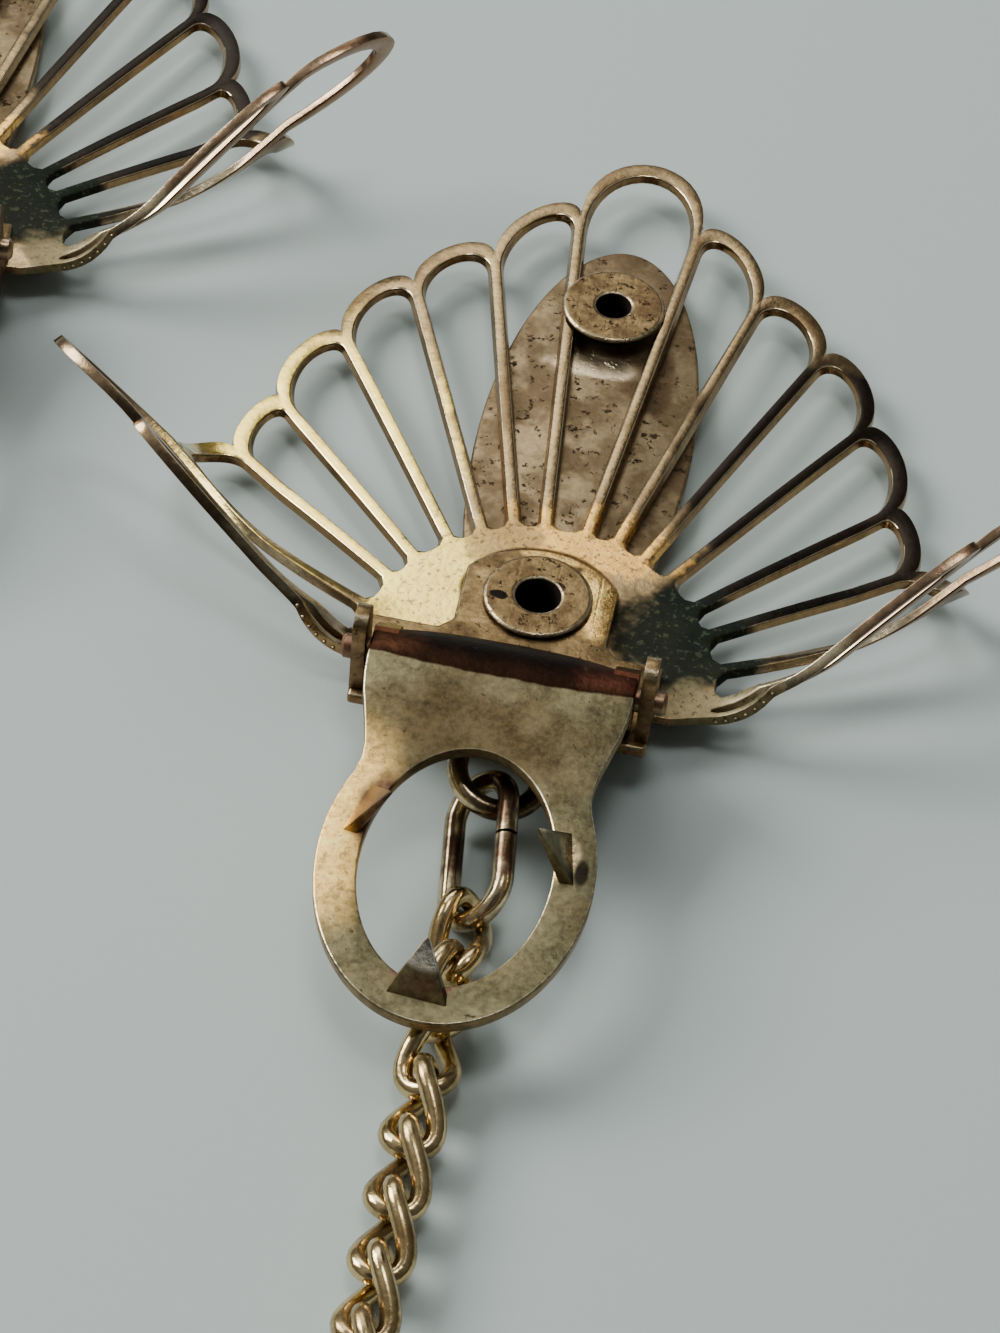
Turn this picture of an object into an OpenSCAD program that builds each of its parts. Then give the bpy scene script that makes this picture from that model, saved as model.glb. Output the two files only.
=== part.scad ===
// Sweater clip: two pierced fan clips, each with a hinged lever on its back, joined by a curb chain.
// It lies face down; the table is z = 0 and the origin is the flat head of clip A's lower rivet.

/* [Fan] */
// Reach of the fan from its pattern centre to the tip of the middle loop
fan_reach = 29.9; // [27:0.1:32]
// Distance from the lower rivet down to the pattern centre of the fan
pattern_drop = 4.2; // [3.8:0.1:4.6]
// Sideways offset of the fan's middle line from the lower rivet
fan_offset = 0.38; // [0.2:0.02:0.5]
// Thickness of the pierced sheet
sheet = 0.6; // [0.5:0.05:0.8]
// Width of a rib on the back face
rib_width = 0.54; // [0.4:0.02:0.7]
// How much wider each rib edge is on the front face
edge_draft = 0.12; // [0.06:0.02:0.12]
// Width of the rim at the outer end of each petal
rim_width = 0.75; // [0.6:0.05:0.95]

/* [Wings] */
// Angle by which the left wing is folded up
left_fold = 57; // [45:1:64]
// Angle by which the right wing is folded up
right_fold = 72; // [60:1:76]
// Direction of the fold line, from the fan's middle line
fold_azimuth = 50; // [48:0.5:52]
// Bend radius of the fold at its outer end
fold_radius = 2.2; // [1.8:0.1:3]
// Growth of the bend radius for each millimetre towards the hub
fold_taper = 0.25; // [0.2:0.01:0.35]

/* [Oval plate and rivets] */
// Half of the oval plate's width
oval_half_width = 4.2; // [3.8:0.1:4.6]
// Top of the oval plate, from the lower rivet
oval_top = 20.8; // [20:0.1:21.6]
// Thickness of the oval plate
oval_thickness = 0.55; // [0.4:0.05:0.6]
// Diameter of the rolled flange on the back of each rivet
flange_diameter = 4.1; // [3.8:0.1:4.4]
// Diameter of the hole down each tubular rivet
rivet_hole = 1.85; // [1.6:0.05:2.1]
// Distance between the two rivets
rivet_spacing = 16.65; // [16.4:0.05:17]

/* [Bracket and hinge] */
// Width of the bracket over its two ears
bracket_width = 11; // [10.8:0.1:11.4]
// Thickness of the bracket sheet
bracket_sheet = 0.5; // [0.45:0.05:0.6]
// Height of the ears above the back face of the bracket
ear_height = 3.5; // [3.2:0.1:3.8]
// Diameter of the hinge pin
pin_diameter = 0.9; // [0.8:0.05:1]
// Height of the hinge pin above the back face of the bracket
pin_height = 1.45; // [1.45:0.05:1.7]
// Distance from the lower rivet down to the hinge pin
pin_drop = 5.25; // [5.1:0.05:5.4]

/* [Lever] */
// Thickness of the lever sheet
lever_sheet = 0.55; // [0.45:0.05:0.6]
// Slope of the open lever down to its ring end
lever_slope = 7.5; // [6.5:0.1:8]
// Distance from the hinge pin to the middle of the lever's oval
oval_distance = 9.1; // [8.8:0.1:9.6]
// Half of the length of the lever's oval
ring_half_length = 6.3; // [6:0.05:6.6]
// Half of the width of the lever's oval
ring_half_width = 4.84; // [4.6:0.02:5.1]
// Width of the band round the opening of the lever
band_width = 1.5; // [1.3:0.05:1.7]
// Length of each tooth
tooth_length = 2.3; // [1.9:0.1:2.5]

/* [Chain and jump rings] */
// Diameter of the jump ring wire
ring_wire = 0.78; // [0.7:0.02:0.78]
// Diameter of the chain wire
chain_wire = 0.66; // [0.6:0.01:0.66]
// Width of one chain link
chain_width = 2.26; // [2.24:0.01:2.3]
// Distance from one link to the next
chain_pitch = 2.5; // [2.48:0.01:2.54]

/* [Hidden] */
pad = 0.1;
gap = 0.05;
clip_b_place = [-29.32, 16.37];
clip_b_turn = 6.76;

// Heights above the table, from the rivet heads up.
head_height = 0.5;
oval_z = head_height;
fan_front_z = oval_z + oval_thickness + gap;
fan_back_z = fan_front_z + sheet;
base_z = fan_back_z + gap;
back_z = base_z + bracket_sheet;
flange_height = 0.2;

// Fan pattern: one row per rib of the right half, as
// [azimuth in degrees, notch radius, root radius], the radii as shares of fan_reach.
ribs = [
  [5.4, 0.877, 0.279], [13.4, 0.790, 0.281], [22, 0.743, 0.271], [31.4, 0.676, 0.264],
  [42.7, 0.602, 0.257], [52.8, 0.557, 0.247], [66, 0.545, 0.237], [79.5, 0.56, 0.227],
  [85.5, 0.43, 0.222]
];
// Height of each petal over the line between its two notches, as a share of fan_reach, from the middle out.
petals = [0.123, 0.05, 0.042, 0.042, 0.034, 0.018, 0.04, 0.2, 0.08];
side_ribs = len(ribs);
rib_count = 2 * side_ribs;
cell_count = rib_count - 1;
function rib_row(j) = j < side_ribs ? ribs[side_ribs - 1 - j] : ribs[j - side_ribs];
function rib_side(j) = j < side_ribs ? -1 : 1;
function rib_azimuth(j) = rib_side(j) * rib_row(j)[0];
function notch_radius(j) = rib_row(j)[1] * fan_reach;
function root_radius(j) = rib_row(j)[2] * fan_reach;
function petal_height(j) = petals[abs(j - (side_ribs - 1))] * fan_reach;
function mix(a, b, t) = a + (b - a) * t;
function dome(t) = sqrt(max(0, 1 - pow(2 * t - 1, 2)));
function polar(az, r) = [r * sin(az), r * cos(az) - pattern_drop];

// Steps along a rib, along a petal's outer edge and along its hub end.
rib_steps = 5;
arc_steps = 8;
hub_steps = 2;
loop_size = 2 * rib_steps + arc_steps + hub_steps;

// A point of loop i of cell j as [azimuth, radius]; inset moves it in from the cell's edge.
function arc_share(i) = (1 - cos(180 * i / arc_steps)) / 2;
function edge_turn(r, inset) = inset / r * 180 / PI;
function on_left(j, i, inset) =
  let (t = i / rib_steps, r = mix(root_radius(j) + inset * 1.6, notch_radius(j) - inset * 1.2, t))
  [rib_azimuth(j) + edge_turn(r, inset), r];
function on_right(j, i, inset) =
  let (t = i / rib_steps, r = mix(root_radius(j + 1) + inset * 1.6, notch_radius(j + 1) - inset * 1.2, t))
  [rib_azimuth(j + 1) - edge_turn(r, inset), r];
function on_arc(j, i, inset, rim) =
  let (t = arc_share(i), a = on_left(j, rib_steps, inset), b = on_right(j, rib_steps, inset))
  [mix(a[0], b[0], t), mix(a[1], b[1], t) + (petal_height(j) + inset * 1.2 - rim) * dome(t)];
function on_hub(j, i, inset) =
  let (t = i / hub_steps, a = on_right(j, 0, inset), b = on_left(j, 0, inset))
  [mix(a[0], b[0], t), mix(a[1], b[1], t) - inset * 1.4 * dome(t)];
function loop_point(j, i, inset, rim) =
  i <= rib_steps ? on_left(j, i, inset) :
  i < rib_steps + arc_steps ? on_arc(j, i - rib_steps, inset, rim) :
  i <= 2 * rib_steps + arc_steps ? on_right(j, 2 * rib_steps + arc_steps - i, inset) :
  on_hub(j, i - 2 * rib_steps - arc_steps, inset);

// Fold of the side wings: a flat point p goes to the bent sheet, depth measured in from its back face.
fold_point = polar(ribs[5][0], ribs[5][1] * fan_reach) + [0.1, -0.3];
fold_dir = [sin(fold_azimuth), cos(fold_azimuth)];
fold_out = [cos(fold_azimuth), -sin(fold_azimuth)];
flat_half = bracket_width / 2 + 0.6;
function bent(p, depth) =
  let (
    s = p[0] < 0 ? -1 : 1,
    fold = s < 0 ? left_fold : right_fold,
    q = [abs(p[0]), p[1]],
    u = (q - fold_point) * fold_dir,
    v = max(0, min((q - fold_point) * fold_out, 1.4 * (q[0] - flat_half))),
    radius = fold_radius + fold_taper * max(0, -u),
    turn = min(v / radius * 180 / PI, fold),
    rest = v - radius * turn * PI / 180,
    run = radius * sin(turn) + rest * cos(turn) + depth * sin(turn) - v,
    rise = radius * (1 - cos(turn)) + rest * sin(turn) - depth * cos(turn)
  )
  [s * (q[0] + run * fold_out[0]), q[1] + run * fold_out[1], rise];

function both(p) = [bent(p, 0), bent(p, sheet)];
function flat(list) = [for (group = list) for (item = group) item];
hub_share = 0.8;
hub_low = 4.1;
hub_row = hub_steps * cell_count + 1;
function hub_top(i) =
  let (j = floor(i / hub_steps), k = i - j * hub_steps)
  k == 0 ? polar(rib_azimuth(j), root_radius(j)) :
  let (a = on_hub(j, hub_steps - k, 0)) polar(a[0], a[1]);

rib_points = flat([
  for (j = [0:rib_count - 1]) for (i = [0:rib_steps])
    both(polar(rib_azimuth(j), mix(root_radius(j), notch_radius(j), i / rib_steps)))
]);
arc_points = flat([
  for (j = [0:cell_count - 1]) for (i = [1:arc_steps - 1])
    let (a = on_arc(j, i, 0, 0))
    [bent(polar(a[0], a[1] - edge_draft), 0), bent(polar(a[0], a[1]), sheet)]
]);
hub_points = flat([
  for (j = [0:cell_count - 1]) for (i = [1:hub_steps - 1])
    let (a = on_hub(j, i, 0)) both(polar(a[0], a[1]))
]);
hole_points = flat([
  for (j = [0:cell_count - 1]) for (i = [0:loop_size - 1])
    let (
      a = loop_point(j, i, rib_width / 2, rim_width),
      b = loop_point(j, i, rib_width / 2 + edge_draft, rim_width + edge_draft)
    )
    [bent(polar(a[0], a[1]), 0), bent(polar(b[0], b[1]), sheet)]
]);

// Edge of the hub: its top row from left to right, then its lower edge back to the left.
low_steps = 8;
hub_size = hub_row + low_steps + 1;
function hub_edge(i) =
  i < hub_row ? hub_top(i) :
  [hub_top(hub_row - 1)[0] * hub_share * (1 - 2 * (i - hub_row) / low_steps), -hub_low];
low_points = flat([for (i = [hub_row:hub_size - 1]) both(hub_edge(i))]);

// Bore of the lower rivet, one point in line with each point of the hub's edge.
shank_diameter = 2.4;
bore_at = [-fan_offset, 0];
function bore_point(i) =
  let (line = hub_edge(i) - bore_at)
  bore_at + (shank_diameter / 2 + gap) * line / norm(line);
bore_points = flat([for (i = [0:hub_size - 1]) both(bore_point(i))]);
arc_start = len(rib_points);
hub_start = arc_start + len(arc_points);
hole_start = hub_start + len(hub_points);
low_start = hole_start + len(hole_points);
bore_start = low_start + len(low_points);

// Numbers of the points; face 0 is the back of the sheet and face 1 its front.
function rib_id(j, i, face) = (j * (rib_steps + 1) + i) * 2 + face;
function arc_id(j, i, face) = arc_start + (j * (arc_steps - 1) + i - 1) * 2 + face;
function hub_id(j, i, face) = hub_start + (j * (hub_steps - 1) + i - 1) * 2 + face;
function hole_id(j, i, face) = hole_start + (j * loop_size + i % loop_size) * 2 + face;
function cell_id(j, n, face) =
  let (i = n % loop_size)
  i <= rib_steps ? rib_id(j, i, face) :
  i < rib_steps + arc_steps ? arc_id(j, i - rib_steps, face) :
  i <= 2 * rib_steps + arc_steps ? rib_id(j + 1, 2 * rib_steps + arc_steps - i, face) :
  hub_id(j, i - 2 * rib_steps - arc_steps, face);
function row_id(i, face) =
  let (j = floor(i / hub_steps), k = i - j * hub_steps)
  k == 0 ? rib_id(j, 0, face) : hub_id(j, hub_steps - k, face);
function edge_id(n, face) =
  let (i = n % hub_size)
  i < hub_row ? row_id(i, face) : low_start + (i - hub_row) * 2 + face;
function bore_id(i, face) = bore_start + (i % hub_size) * 2 + face;
function quad(a, b, c, d) = [[a, b, c], [a, c, d]];

fan_faces = flat(concat(
  [for (j = [0:cell_count - 1]) for (i = [0:loop_size - 1])
    quad(cell_id(j, i, 0), cell_id(j, i + 1, 0), hole_id(j, i + 1, 0), hole_id(j, i, 0))],
  [for (j = [0:cell_count - 1]) for (i = [0:loop_size - 1])
    quad(hole_id(j, i, 1), hole_id(j, i + 1, 1), cell_id(j, i + 1, 1), cell_id(j, i, 1))],
  [for (j = [0:cell_count - 1]) for (i = [0:loop_size - 1])
    quad(hole_id(j, i, 0), hole_id(j, i + 1, 0), hole_id(j, i + 1, 1), hole_id(j, i, 1))],
  [for (j = [0:cell_count - 1]) for (i = [rib_steps:rib_steps + arc_steps - 1])
    quad(cell_id(j, i, 1), cell_id(j, i + 1, 1), cell_id(j, i + 1, 0), cell_id(j, i, 0))],
  [for (i = [0:rib_steps - 1])
    quad(rib_id(0, i, 1), rib_id(0, i + 1, 1), rib_id(0, i + 1, 0), rib_id(0, i, 0))],
  [for (i = [0:rib_steps - 1])
    quad(rib_id(cell_count, i, 0), rib_id(cell_count, i + 1, 0),
      rib_id(cell_count, i + 1, 1), rib_id(cell_count, i, 1))],
  [for (i = [0:hub_size - 1]) quad(edge_id(i, 0), edge_id(i + 1, 0), bore_id(i + 1, 0), bore_id(i, 0))],
  [for (i = [0:hub_size - 1]) quad(bore_id(i, 1), bore_id(i + 1, 1), edge_id(i + 1, 1), edge_id(i, 1))],
  [for (i = [0:hub_size - 1]) quad(bore_id(i, 0), bore_id(i + 1, 0), bore_id(i + 1, 1), bore_id(i, 1))],
  [for (i = [hub_row - 1:hub_size - 1])
    quad(edge_id(i + 1, 0), edge_id(i, 0), edge_id(i, 1), edge_id(i + 1, 1))]
));

module fan_sheet() {
  polyhedron(
    points = concat(rib_points, arc_points, hub_points, hole_points, low_points, bore_points),
    faces = fan_faces,
    convexity = 12
  );
}

module rivet_bore(d) {
  translate([0, 0, -pad])
    cylinder(h = fan_back_z + 2, d = d, $fn = 48);
}

rivet_xs = [0, 0.12];
module fan() {
  color("goldenrod")
    translate([fan_offset, 0, fan_back_z])
      fan_sheet();
}

// Oval plate in front of the fan: an egg outline, widest in its upper part.
oval_low = 2.6;
oval_mid = 9.6;
oval_x = 0.22;
module egg(half, top, low) {
  polygon([
    for (a = [0:6:354])
      [half * cos(a), oval_mid + (sin(a) >= 0 ? (top - oval_mid) * sin(a) : (oval_mid + low) * sin(a))]
  ]);
}

module oval_plate() {
  color("darkkhaki")
    difference() {
      translate([oval_x, 0, oval_z])
        linear_extrude(oval_thickness)
          egg(oval_half_width, oval_top, oval_low);
      rivet_bore(shank_diameter + 2 * gap);
      translate([rivet_xs[1], rivet_spacing, 0])
        rivet_bore(shank_diameter + 2 * gap);
    }
}

// Tubular rivet: flat head on the table, shank, and a rolled flange on the back.
head_diameter = 4.4;
module rivet(flange_z) {
  color("peru")
    difference() {
      union() {
        cylinder(h = head_height - gap, d = head_diameter, $fn = 64);
        cylinder(h = flange_z + flange_height, d = shank_diameter, $fn = 48);
        translate([0, 0, flange_z])
          cylinder(h = flange_height * 0.5, d = flange_diameter, $fn = 64);
        translate([0, 0, flange_z + flange_height * 0.5])
          cylinder(h = flange_height * 0.5, d1 = flange_diameter, d2 = flange_diameter - 0.5, $fn = 64);
      }
      translate([0, 0, head_height])
        cylinder(h = flange_z + 1, d = rivet_hole, $fn = 48);
    }
}

module lower_rivet() {
  rivet(back_z + gap);
}

module upper_rivet() {
  translate([rivet_xs[1], rivet_spacing, 0])
    rivet(fan_back_z + gap);
}

// Bracket: flat base with a rounded tongue under the lower rivet, two ears for the pin and a rolled eye.
hinge_x = -0.41;
base_top = -2.15;
base_low = -6.3;
tongue_half = 2.87;
tongue_top = 2.55;
tongue_radius = 3.6;
ear_half = 0.72;
eye_x = 0.18;
eye_drop = 7.05;
eye_width = 1.2;
eye_bore = 1.12;
eye_wall = 0.24;
pin_z = back_z + pin_height;
module ear() {
  translate([0, -pin_drop, 0])
    difference() {
      union() {
        translate([0, -ear_half, base_z])
          cube([bracket_sheet, 2 * ear_half, bracket_sheet + ear_height - ear_half]);
        translate([0, 0, back_z + ear_height - ear_half])
          rotate([0, 90, 0])
            cylinder(h = bracket_sheet, r = ear_half, $fn = 48);
      }
      translate([-pad, 0, pin_z])
        rotate([0, 90, 0])
          cylinder(h = bracket_sheet + 2 * pad, d = pin_diameter + 2 * gap, $fn = 48);
    }
}

module bracket() {
  eye_radius = eye_bore / 2 + eye_wall;
  eye_z = base_z + eye_radius;
  color("tan")
    difference() {
      union() {
        translate([hinge_x - bracket_width / 2, base_low, base_z])
          cube([bracket_width, base_top - base_low, bracket_sheet]);
        intersection() {
          translate([-tongue_half, base_low, base_z])
            cube([2 * tongue_half, tongue_top - base_low, bracket_sheet]);
          translate([0, tongue_top - tongue_radius, base_z])
            cylinder(h = bracket_sheet, r = tongue_radius, $fn = 96);
        }
        translate([-tongue_half, base_low, base_z])
          cube([2 * tongue_half, 1 - base_low, bracket_sheet]);
        translate([hinge_x - bracket_width / 2, 0, 0])
          ear();
        translate([hinge_x + bracket_width / 2 - bracket_sheet, 0, 0])
          ear();
        translate([eye_x - eye_width / 2, -eye_drop, base_z])
          cube([eye_width, eye_drop + base_low + pad, bracket_sheet]);
        translate([eye_x - eye_width / 2, -eye_drop, eye_z])
          rotate([0, 90, 0])
            cylinder(h = eye_width, r = eye_radius, $fn = 48);
      }
      rivet_bore(shank_diameter + 2 * gap);
      translate([eye_x - eye_width / 2 - pad, -eye_drop, eye_z])
        rotate([0, 90, 0])
          cylinder(h = eye_width + 2 * pad, d = eye_bore, $fn = 48);
    }
}

pin_overhang = 0.45;
module hinge_pin() {
  length = bracket_width + 2 * pin_overhang;
  color("sienna")
    translate([hinge_x - length / 2, -pin_drop, pin_z])
      rotate([0, 90, 0])
        cylinder(h = length, d = pin_diameter, $fn = 48);
}

// Lever in its own frame: x across, y away from the pin along the sloping sheet, z up from the pin.
heel_radius = 3;
heel_turn = 48;
heel_start = 1.15;
sheet_rise = 1.45;
side_gap = 0.18;
lever_half = bracket_width / 2 - bracket_sheet - side_gap;
neck_half = 4.05;
neck_at = 5.3;
shoulder_half = 4.5;
shoulder_at = 3.2;
lug_width = 0.9;
lug_radius = 1.1;
// Teeth of the ring: one row each, as [direction round the oval in degrees, tilt from the band].
teeth = [[163, 62], [12, 62], [-94, 62]];
tooth_base = 2.5;
module oval(half_x, half_y) {
  polygon([for (a = [0:5:355]) [half_x * cos(a), -oval_distance + half_y * sin(a)]]);
}

module lever_outline() {
  polygon([
    [-lever_half, -heel_start], [-shoulder_half, -shoulder_at], [-neck_half, -neck_at],
    [-neck_half, -oval_distance], [neck_half, -oval_distance], [neck_half, -neck_at],
    [shoulder_half, -shoulder_at], [lever_half, -heel_start]
  ]);
  oval(ring_half_width, ring_half_length);
}

module heel() {
  intersection() {
    translate([-lever_half, -heel_start, sheet_rise - heel_radius])
      rotate([0, 90, 0])
        difference() {
          cylinder(h = 2 * lever_half, r = heel_radius, $fn = 120);
          translate([0, 0, -pad])
            cylinder(h = 2 * (lever_half + pad), r = heel_radius - lever_sheet, $fn = 120);
        }
    translate([-lever_half - pad, -heel_start, sheet_rise - heel_radius])
      rotate([0, 90, 0])
        rotate([0, 0, 90])
          linear_extrude(2 * (lever_half + pad))
            polygon([[0, 0], [0, 2 * heel_radius], [2 * heel_radius * tan(heel_turn), 2 * heel_radius]]);
  }
}

module tooth(row) {
  inner_x = ring_half_width - band_width;
  inner_y = ring_half_length - band_width;
  translate([(inner_x + 0.35) * cos(row[0]), -oval_distance + (inner_y + 0.35) * sin(row[0]), sheet_rise - lever_sheet])
    rotate([0, 0, row[0] + 90])
      rotate([row[1], 0, 0])
        linear_extrude(lever_sheet)
          polygon([[-tooth_base / 2, -0.1], [tooth_base / 2, -0.1], [0, tooth_length + 0.4]]);
}

module lever_body() {
  difference() {
    union() {
      translate([0, 0, sheet_rise - lever_sheet])
        linear_extrude(lever_sheet)
          difference() {
            lever_outline();
            oval(ring_half_width - band_width, ring_half_length - band_width);
          }
      for (row = teeth)
        tooth(row);
      heel();
      for (x = [-lever_half, lever_half - lug_width])
        translate([x, 0, 0])
          rotate([0, 90, 0]) {
            cylinder(h = lug_width, r = lug_radius, $fn = 48);
            translate([-sheet_rise + lever_sheet / 2, -heel_start - 0.2, 0])
              cube([sheet_rise - lever_sheet / 2, heel_start + 0.2, lug_width]);
          }
    }
    translate([-lever_half - pad, 0, 0])
      rotate([0, 90, 0])
        cylinder(h = 2 * (lever_half + pad), d = pin_diameter + 2 * gap, $fn = 48);
  }
}

module lever() {
  color("khaki")
    translate([hinge_x, -pin_drop, pin_z])
      rotate([lever_slope, 0, 0])
        lever_body();
}

// Jump rings: ring 1 sits in the bracket's eye, ring 2 is an oval that takes the chain's first link.
ring_1_radius = 1.55;
ring_1_at = [0.15, -8.47, 2.2];
ring_1_tilt = [12.5, 10, 0];
ring_2_half = [1.3, 2.85];
ring_2_at = [0.04, -11.7, 1.55];
ring_2_tilt = [10, -45.7, 0];
ring_cut = 0.12;
module ring_1() {
  color("saddlebrown")
    translate(ring_1_at)
      rotate(ring_1_tilt)
        rotate_extrude($fn = 72)
          translate([ring_1_radius, 0])
            circle(d = ring_wire, $fn = 32);
}

module ring_2() {
  straight = ring_2_half[1] - ring_2_half[0];
  color("darkgoldenrod")
    translate(ring_2_at)
      rotate(ring_2_tilt)
        difference() {
          union() {
            for (turn = [0, 180])
              rotate([0, 0, turn]) {
                translate([0, straight, 0])
                  rotate_extrude(angle = 180, $fn = 72)
                    translate([ring_2_half[0], 0])
                      circle(d = ring_wire, $fn = 32);
                translate([ring_2_half[0], straight, 0])
                  rotate([90, 0, 0])
                    cylinder(h = 2 * straight, d = ring_wire, $fn = 32);
              }
          }
          translate([0, 0.2, -ring_wire])
            cube([2 * ring_2_half[0], ring_cut, 2 * ring_wire]);
        }
}

// Chain: its route runs straight down from clip A, round a bend and straight up to clip B.
chain_x = 0.1;
chain_start = -15.23;
bend_start = -34;
link_bulge = 0.55;
link_steps = 14;
wire_sides = 6;
link_half = chain_width / 2 - chain_wire / 2;
link_reach = 0.688;
chain_z = link_bulge + chain_wire / 2 + 0.01;
function turned(p, a) = [p[0] * cos(a) - p[1] * sin(a), p[0] * sin(a) + p[1] * cos(a)];
b_end = turned([chain_x, chain_start], clip_b_turn) + clip_b_place;
// Radius of the bend and length of the run up to clip B, from the two lines the bend touches.
run_x = chain_x - b_end[0];
run_y = b_end[1] - bend_start;
bend_radius = run_x * cos(clip_b_turn) - run_y * sin(clip_b_turn);
bend_share = (1 + cos(clip_b_turn)) * cos(clip_b_turn) + pow(sin(clip_b_turn), 2);
radius = bend_radius / bend_share;
run_up = (run_x - radius * (1 + cos(clip_b_turn))) / sin(clip_b_turn);
run_down = chain_start - bend_start;
bend_angle = 180 - clip_b_turn;
bend_length = radius * bend_angle * PI / 180;
route_length = run_down + bend_length + run_up;
link_count = round(route_length / chain_pitch) + 1;
pitch = route_length / (link_count - 1);
// A place on the route as [x, y, heading], the heading measured from straight down.
function route(s) =
  s < run_down ? [chain_x, chain_start - s, 0] :
  s < run_down + bend_length ?
    let (a = (s - run_down) / radius * 180 / PI)
    [chain_x - radius + radius * cos(a), bend_start - radius * sin(a), -a] :
  let (m = route_length - s)
  [b_end[0] + m * sin(clip_b_turn), b_end[1] - m * cos(clip_b_turn), -bend_angle];

function unit(v) = v / norm(v);
function wire_point(t, side) =
  let (
    reach = link_reach * chain_pitch,
    centre = [link_half * sin(t), -reach * cos(t), link_bulge * sin(2 * t)],
    along = unit([link_half * cos(t), reach * sin(t), 2 * link_bulge * cos(2 * t)]),
    across = unit(cross([0, 0, 1], along)),
    over = cross(along, across),
    a = 360 * side / wire_sides
  )
  centre + (across * cos(a) + over * sin(a)) * chain_wire / 2;
function placed(p, place) = concat(turned([p[0], p[1]], place[2]) + [place[0], place[1]], [p[2] + chain_z]);
link_points = [
  for (i = [0:link_steps - 1]) for (side = [0:wire_sides - 1]) wire_point(360 * i / link_steps, side)
];
chain_points = flat([
  for (k = [0:link_count - 1]) let (place = route(k * pitch)) [for (p = link_points) placed(p, place)]
]);
function wire_id(k, i, side) =
  (k * link_steps + i % link_steps) * wire_sides + side % wire_sides;
chain_faces = flat([
  for (k = [0:link_count - 1]) for (i = [0:link_steps - 1]) for (side = [0:wire_sides - 1])
    quad(wire_id(k, i, side), wire_id(k, i + 1, side), wire_id(k, i + 1, side + 1), wire_id(k, i, side + 1))
]);

module chain() {
  color("gold")
    polyhedron(points = chain_points, faces = chain_faces, convexity = 12);
}

module at_b() {
  translate([clip_b_place[0], clip_b_place[1], 0])
    rotate([0, 0, clip_b_turn])
      children();
}

module fan_b() {
  at_b()
    fan();
}

module oval_plate_b() {
  at_b()
    oval_plate();
}

module upper_rivet_b() {
  at_b()
    upper_rivet();
}

module lower_rivet_b() {
  at_b()
    lower_rivet();
}

module bracket_b() {
  at_b()
    bracket();
}

module hinge_pin_b() {
  at_b()
    hinge_pin();
}

module lever_b() {
  at_b()
    lever();
}

module ring_1_b() {
  at_b()
    ring_1();
}

module ring_2_b() {
  at_b()
    ring_2();
}

fan();  // fan_a
oval_plate();  // oval_plate_a
upper_rivet();  // upper_rivet_a
lower_rivet();  // lower_rivet_a
bracket();  // bracket_a
hinge_pin();  // hinge_pin_a
lever();  // lever_a
ring_1();  // ring_1_a
ring_2();  // ring_2_a
fan_b();
oval_plate_b();
upper_rivet_b();
lower_rivet_b();
bracket_b();
hinge_pin_b();
lever_b();
ring_1_b();
ring_2_b();
chain();
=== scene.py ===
"""Dresses the sweater clip: two pierced fan clips with hinged levers, joined by a curb chain."""
import logging
from dataclasses import dataclass, field
from enum import Enum
from math import acos, asin, atan2, cos, degrees, pi, radians, sin, sqrt
from typing import Callable, Iterable

import bmesh
import bpy
from mathutils import Matrix, Vector


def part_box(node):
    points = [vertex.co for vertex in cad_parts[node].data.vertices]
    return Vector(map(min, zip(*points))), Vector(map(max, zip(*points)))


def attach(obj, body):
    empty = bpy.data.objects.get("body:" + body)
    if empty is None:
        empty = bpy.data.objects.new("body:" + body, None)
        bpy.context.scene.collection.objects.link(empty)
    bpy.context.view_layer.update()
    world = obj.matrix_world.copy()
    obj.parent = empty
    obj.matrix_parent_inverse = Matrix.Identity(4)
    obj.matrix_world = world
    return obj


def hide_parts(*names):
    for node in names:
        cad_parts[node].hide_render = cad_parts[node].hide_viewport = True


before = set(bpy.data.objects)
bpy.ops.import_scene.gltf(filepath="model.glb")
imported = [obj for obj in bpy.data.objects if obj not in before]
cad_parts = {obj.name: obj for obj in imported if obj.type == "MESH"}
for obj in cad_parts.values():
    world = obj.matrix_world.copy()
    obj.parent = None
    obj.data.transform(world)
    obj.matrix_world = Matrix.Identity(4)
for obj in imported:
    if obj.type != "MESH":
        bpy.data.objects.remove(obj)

Pair = tuple[float, float]
Triple = tuple[float, float, float]
LOG = logging.getLogger("sweater_clip")
MM = 0.001
RIVET_SPOTS = ((0.0, 0.0), (0.12, 16.65))
HINGE_X, HINGE_Y = -0.41, -5.25
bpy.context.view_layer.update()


class Body(Enum):
    """The rigid bodies that pieces ride on."""

    CLIPS = "clips"
    LEVER_A = "lever_a"
    LEVER_B = "lever_b"


# ---- Places -------------------------------------------------------------------------------


def middle(node: str) -> Vector:
    """Returns the middle of a CAD node's box, in millimetres."""
    low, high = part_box(node)
    return (Vector(low) + Vector(high)) / 2 / MM


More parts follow.
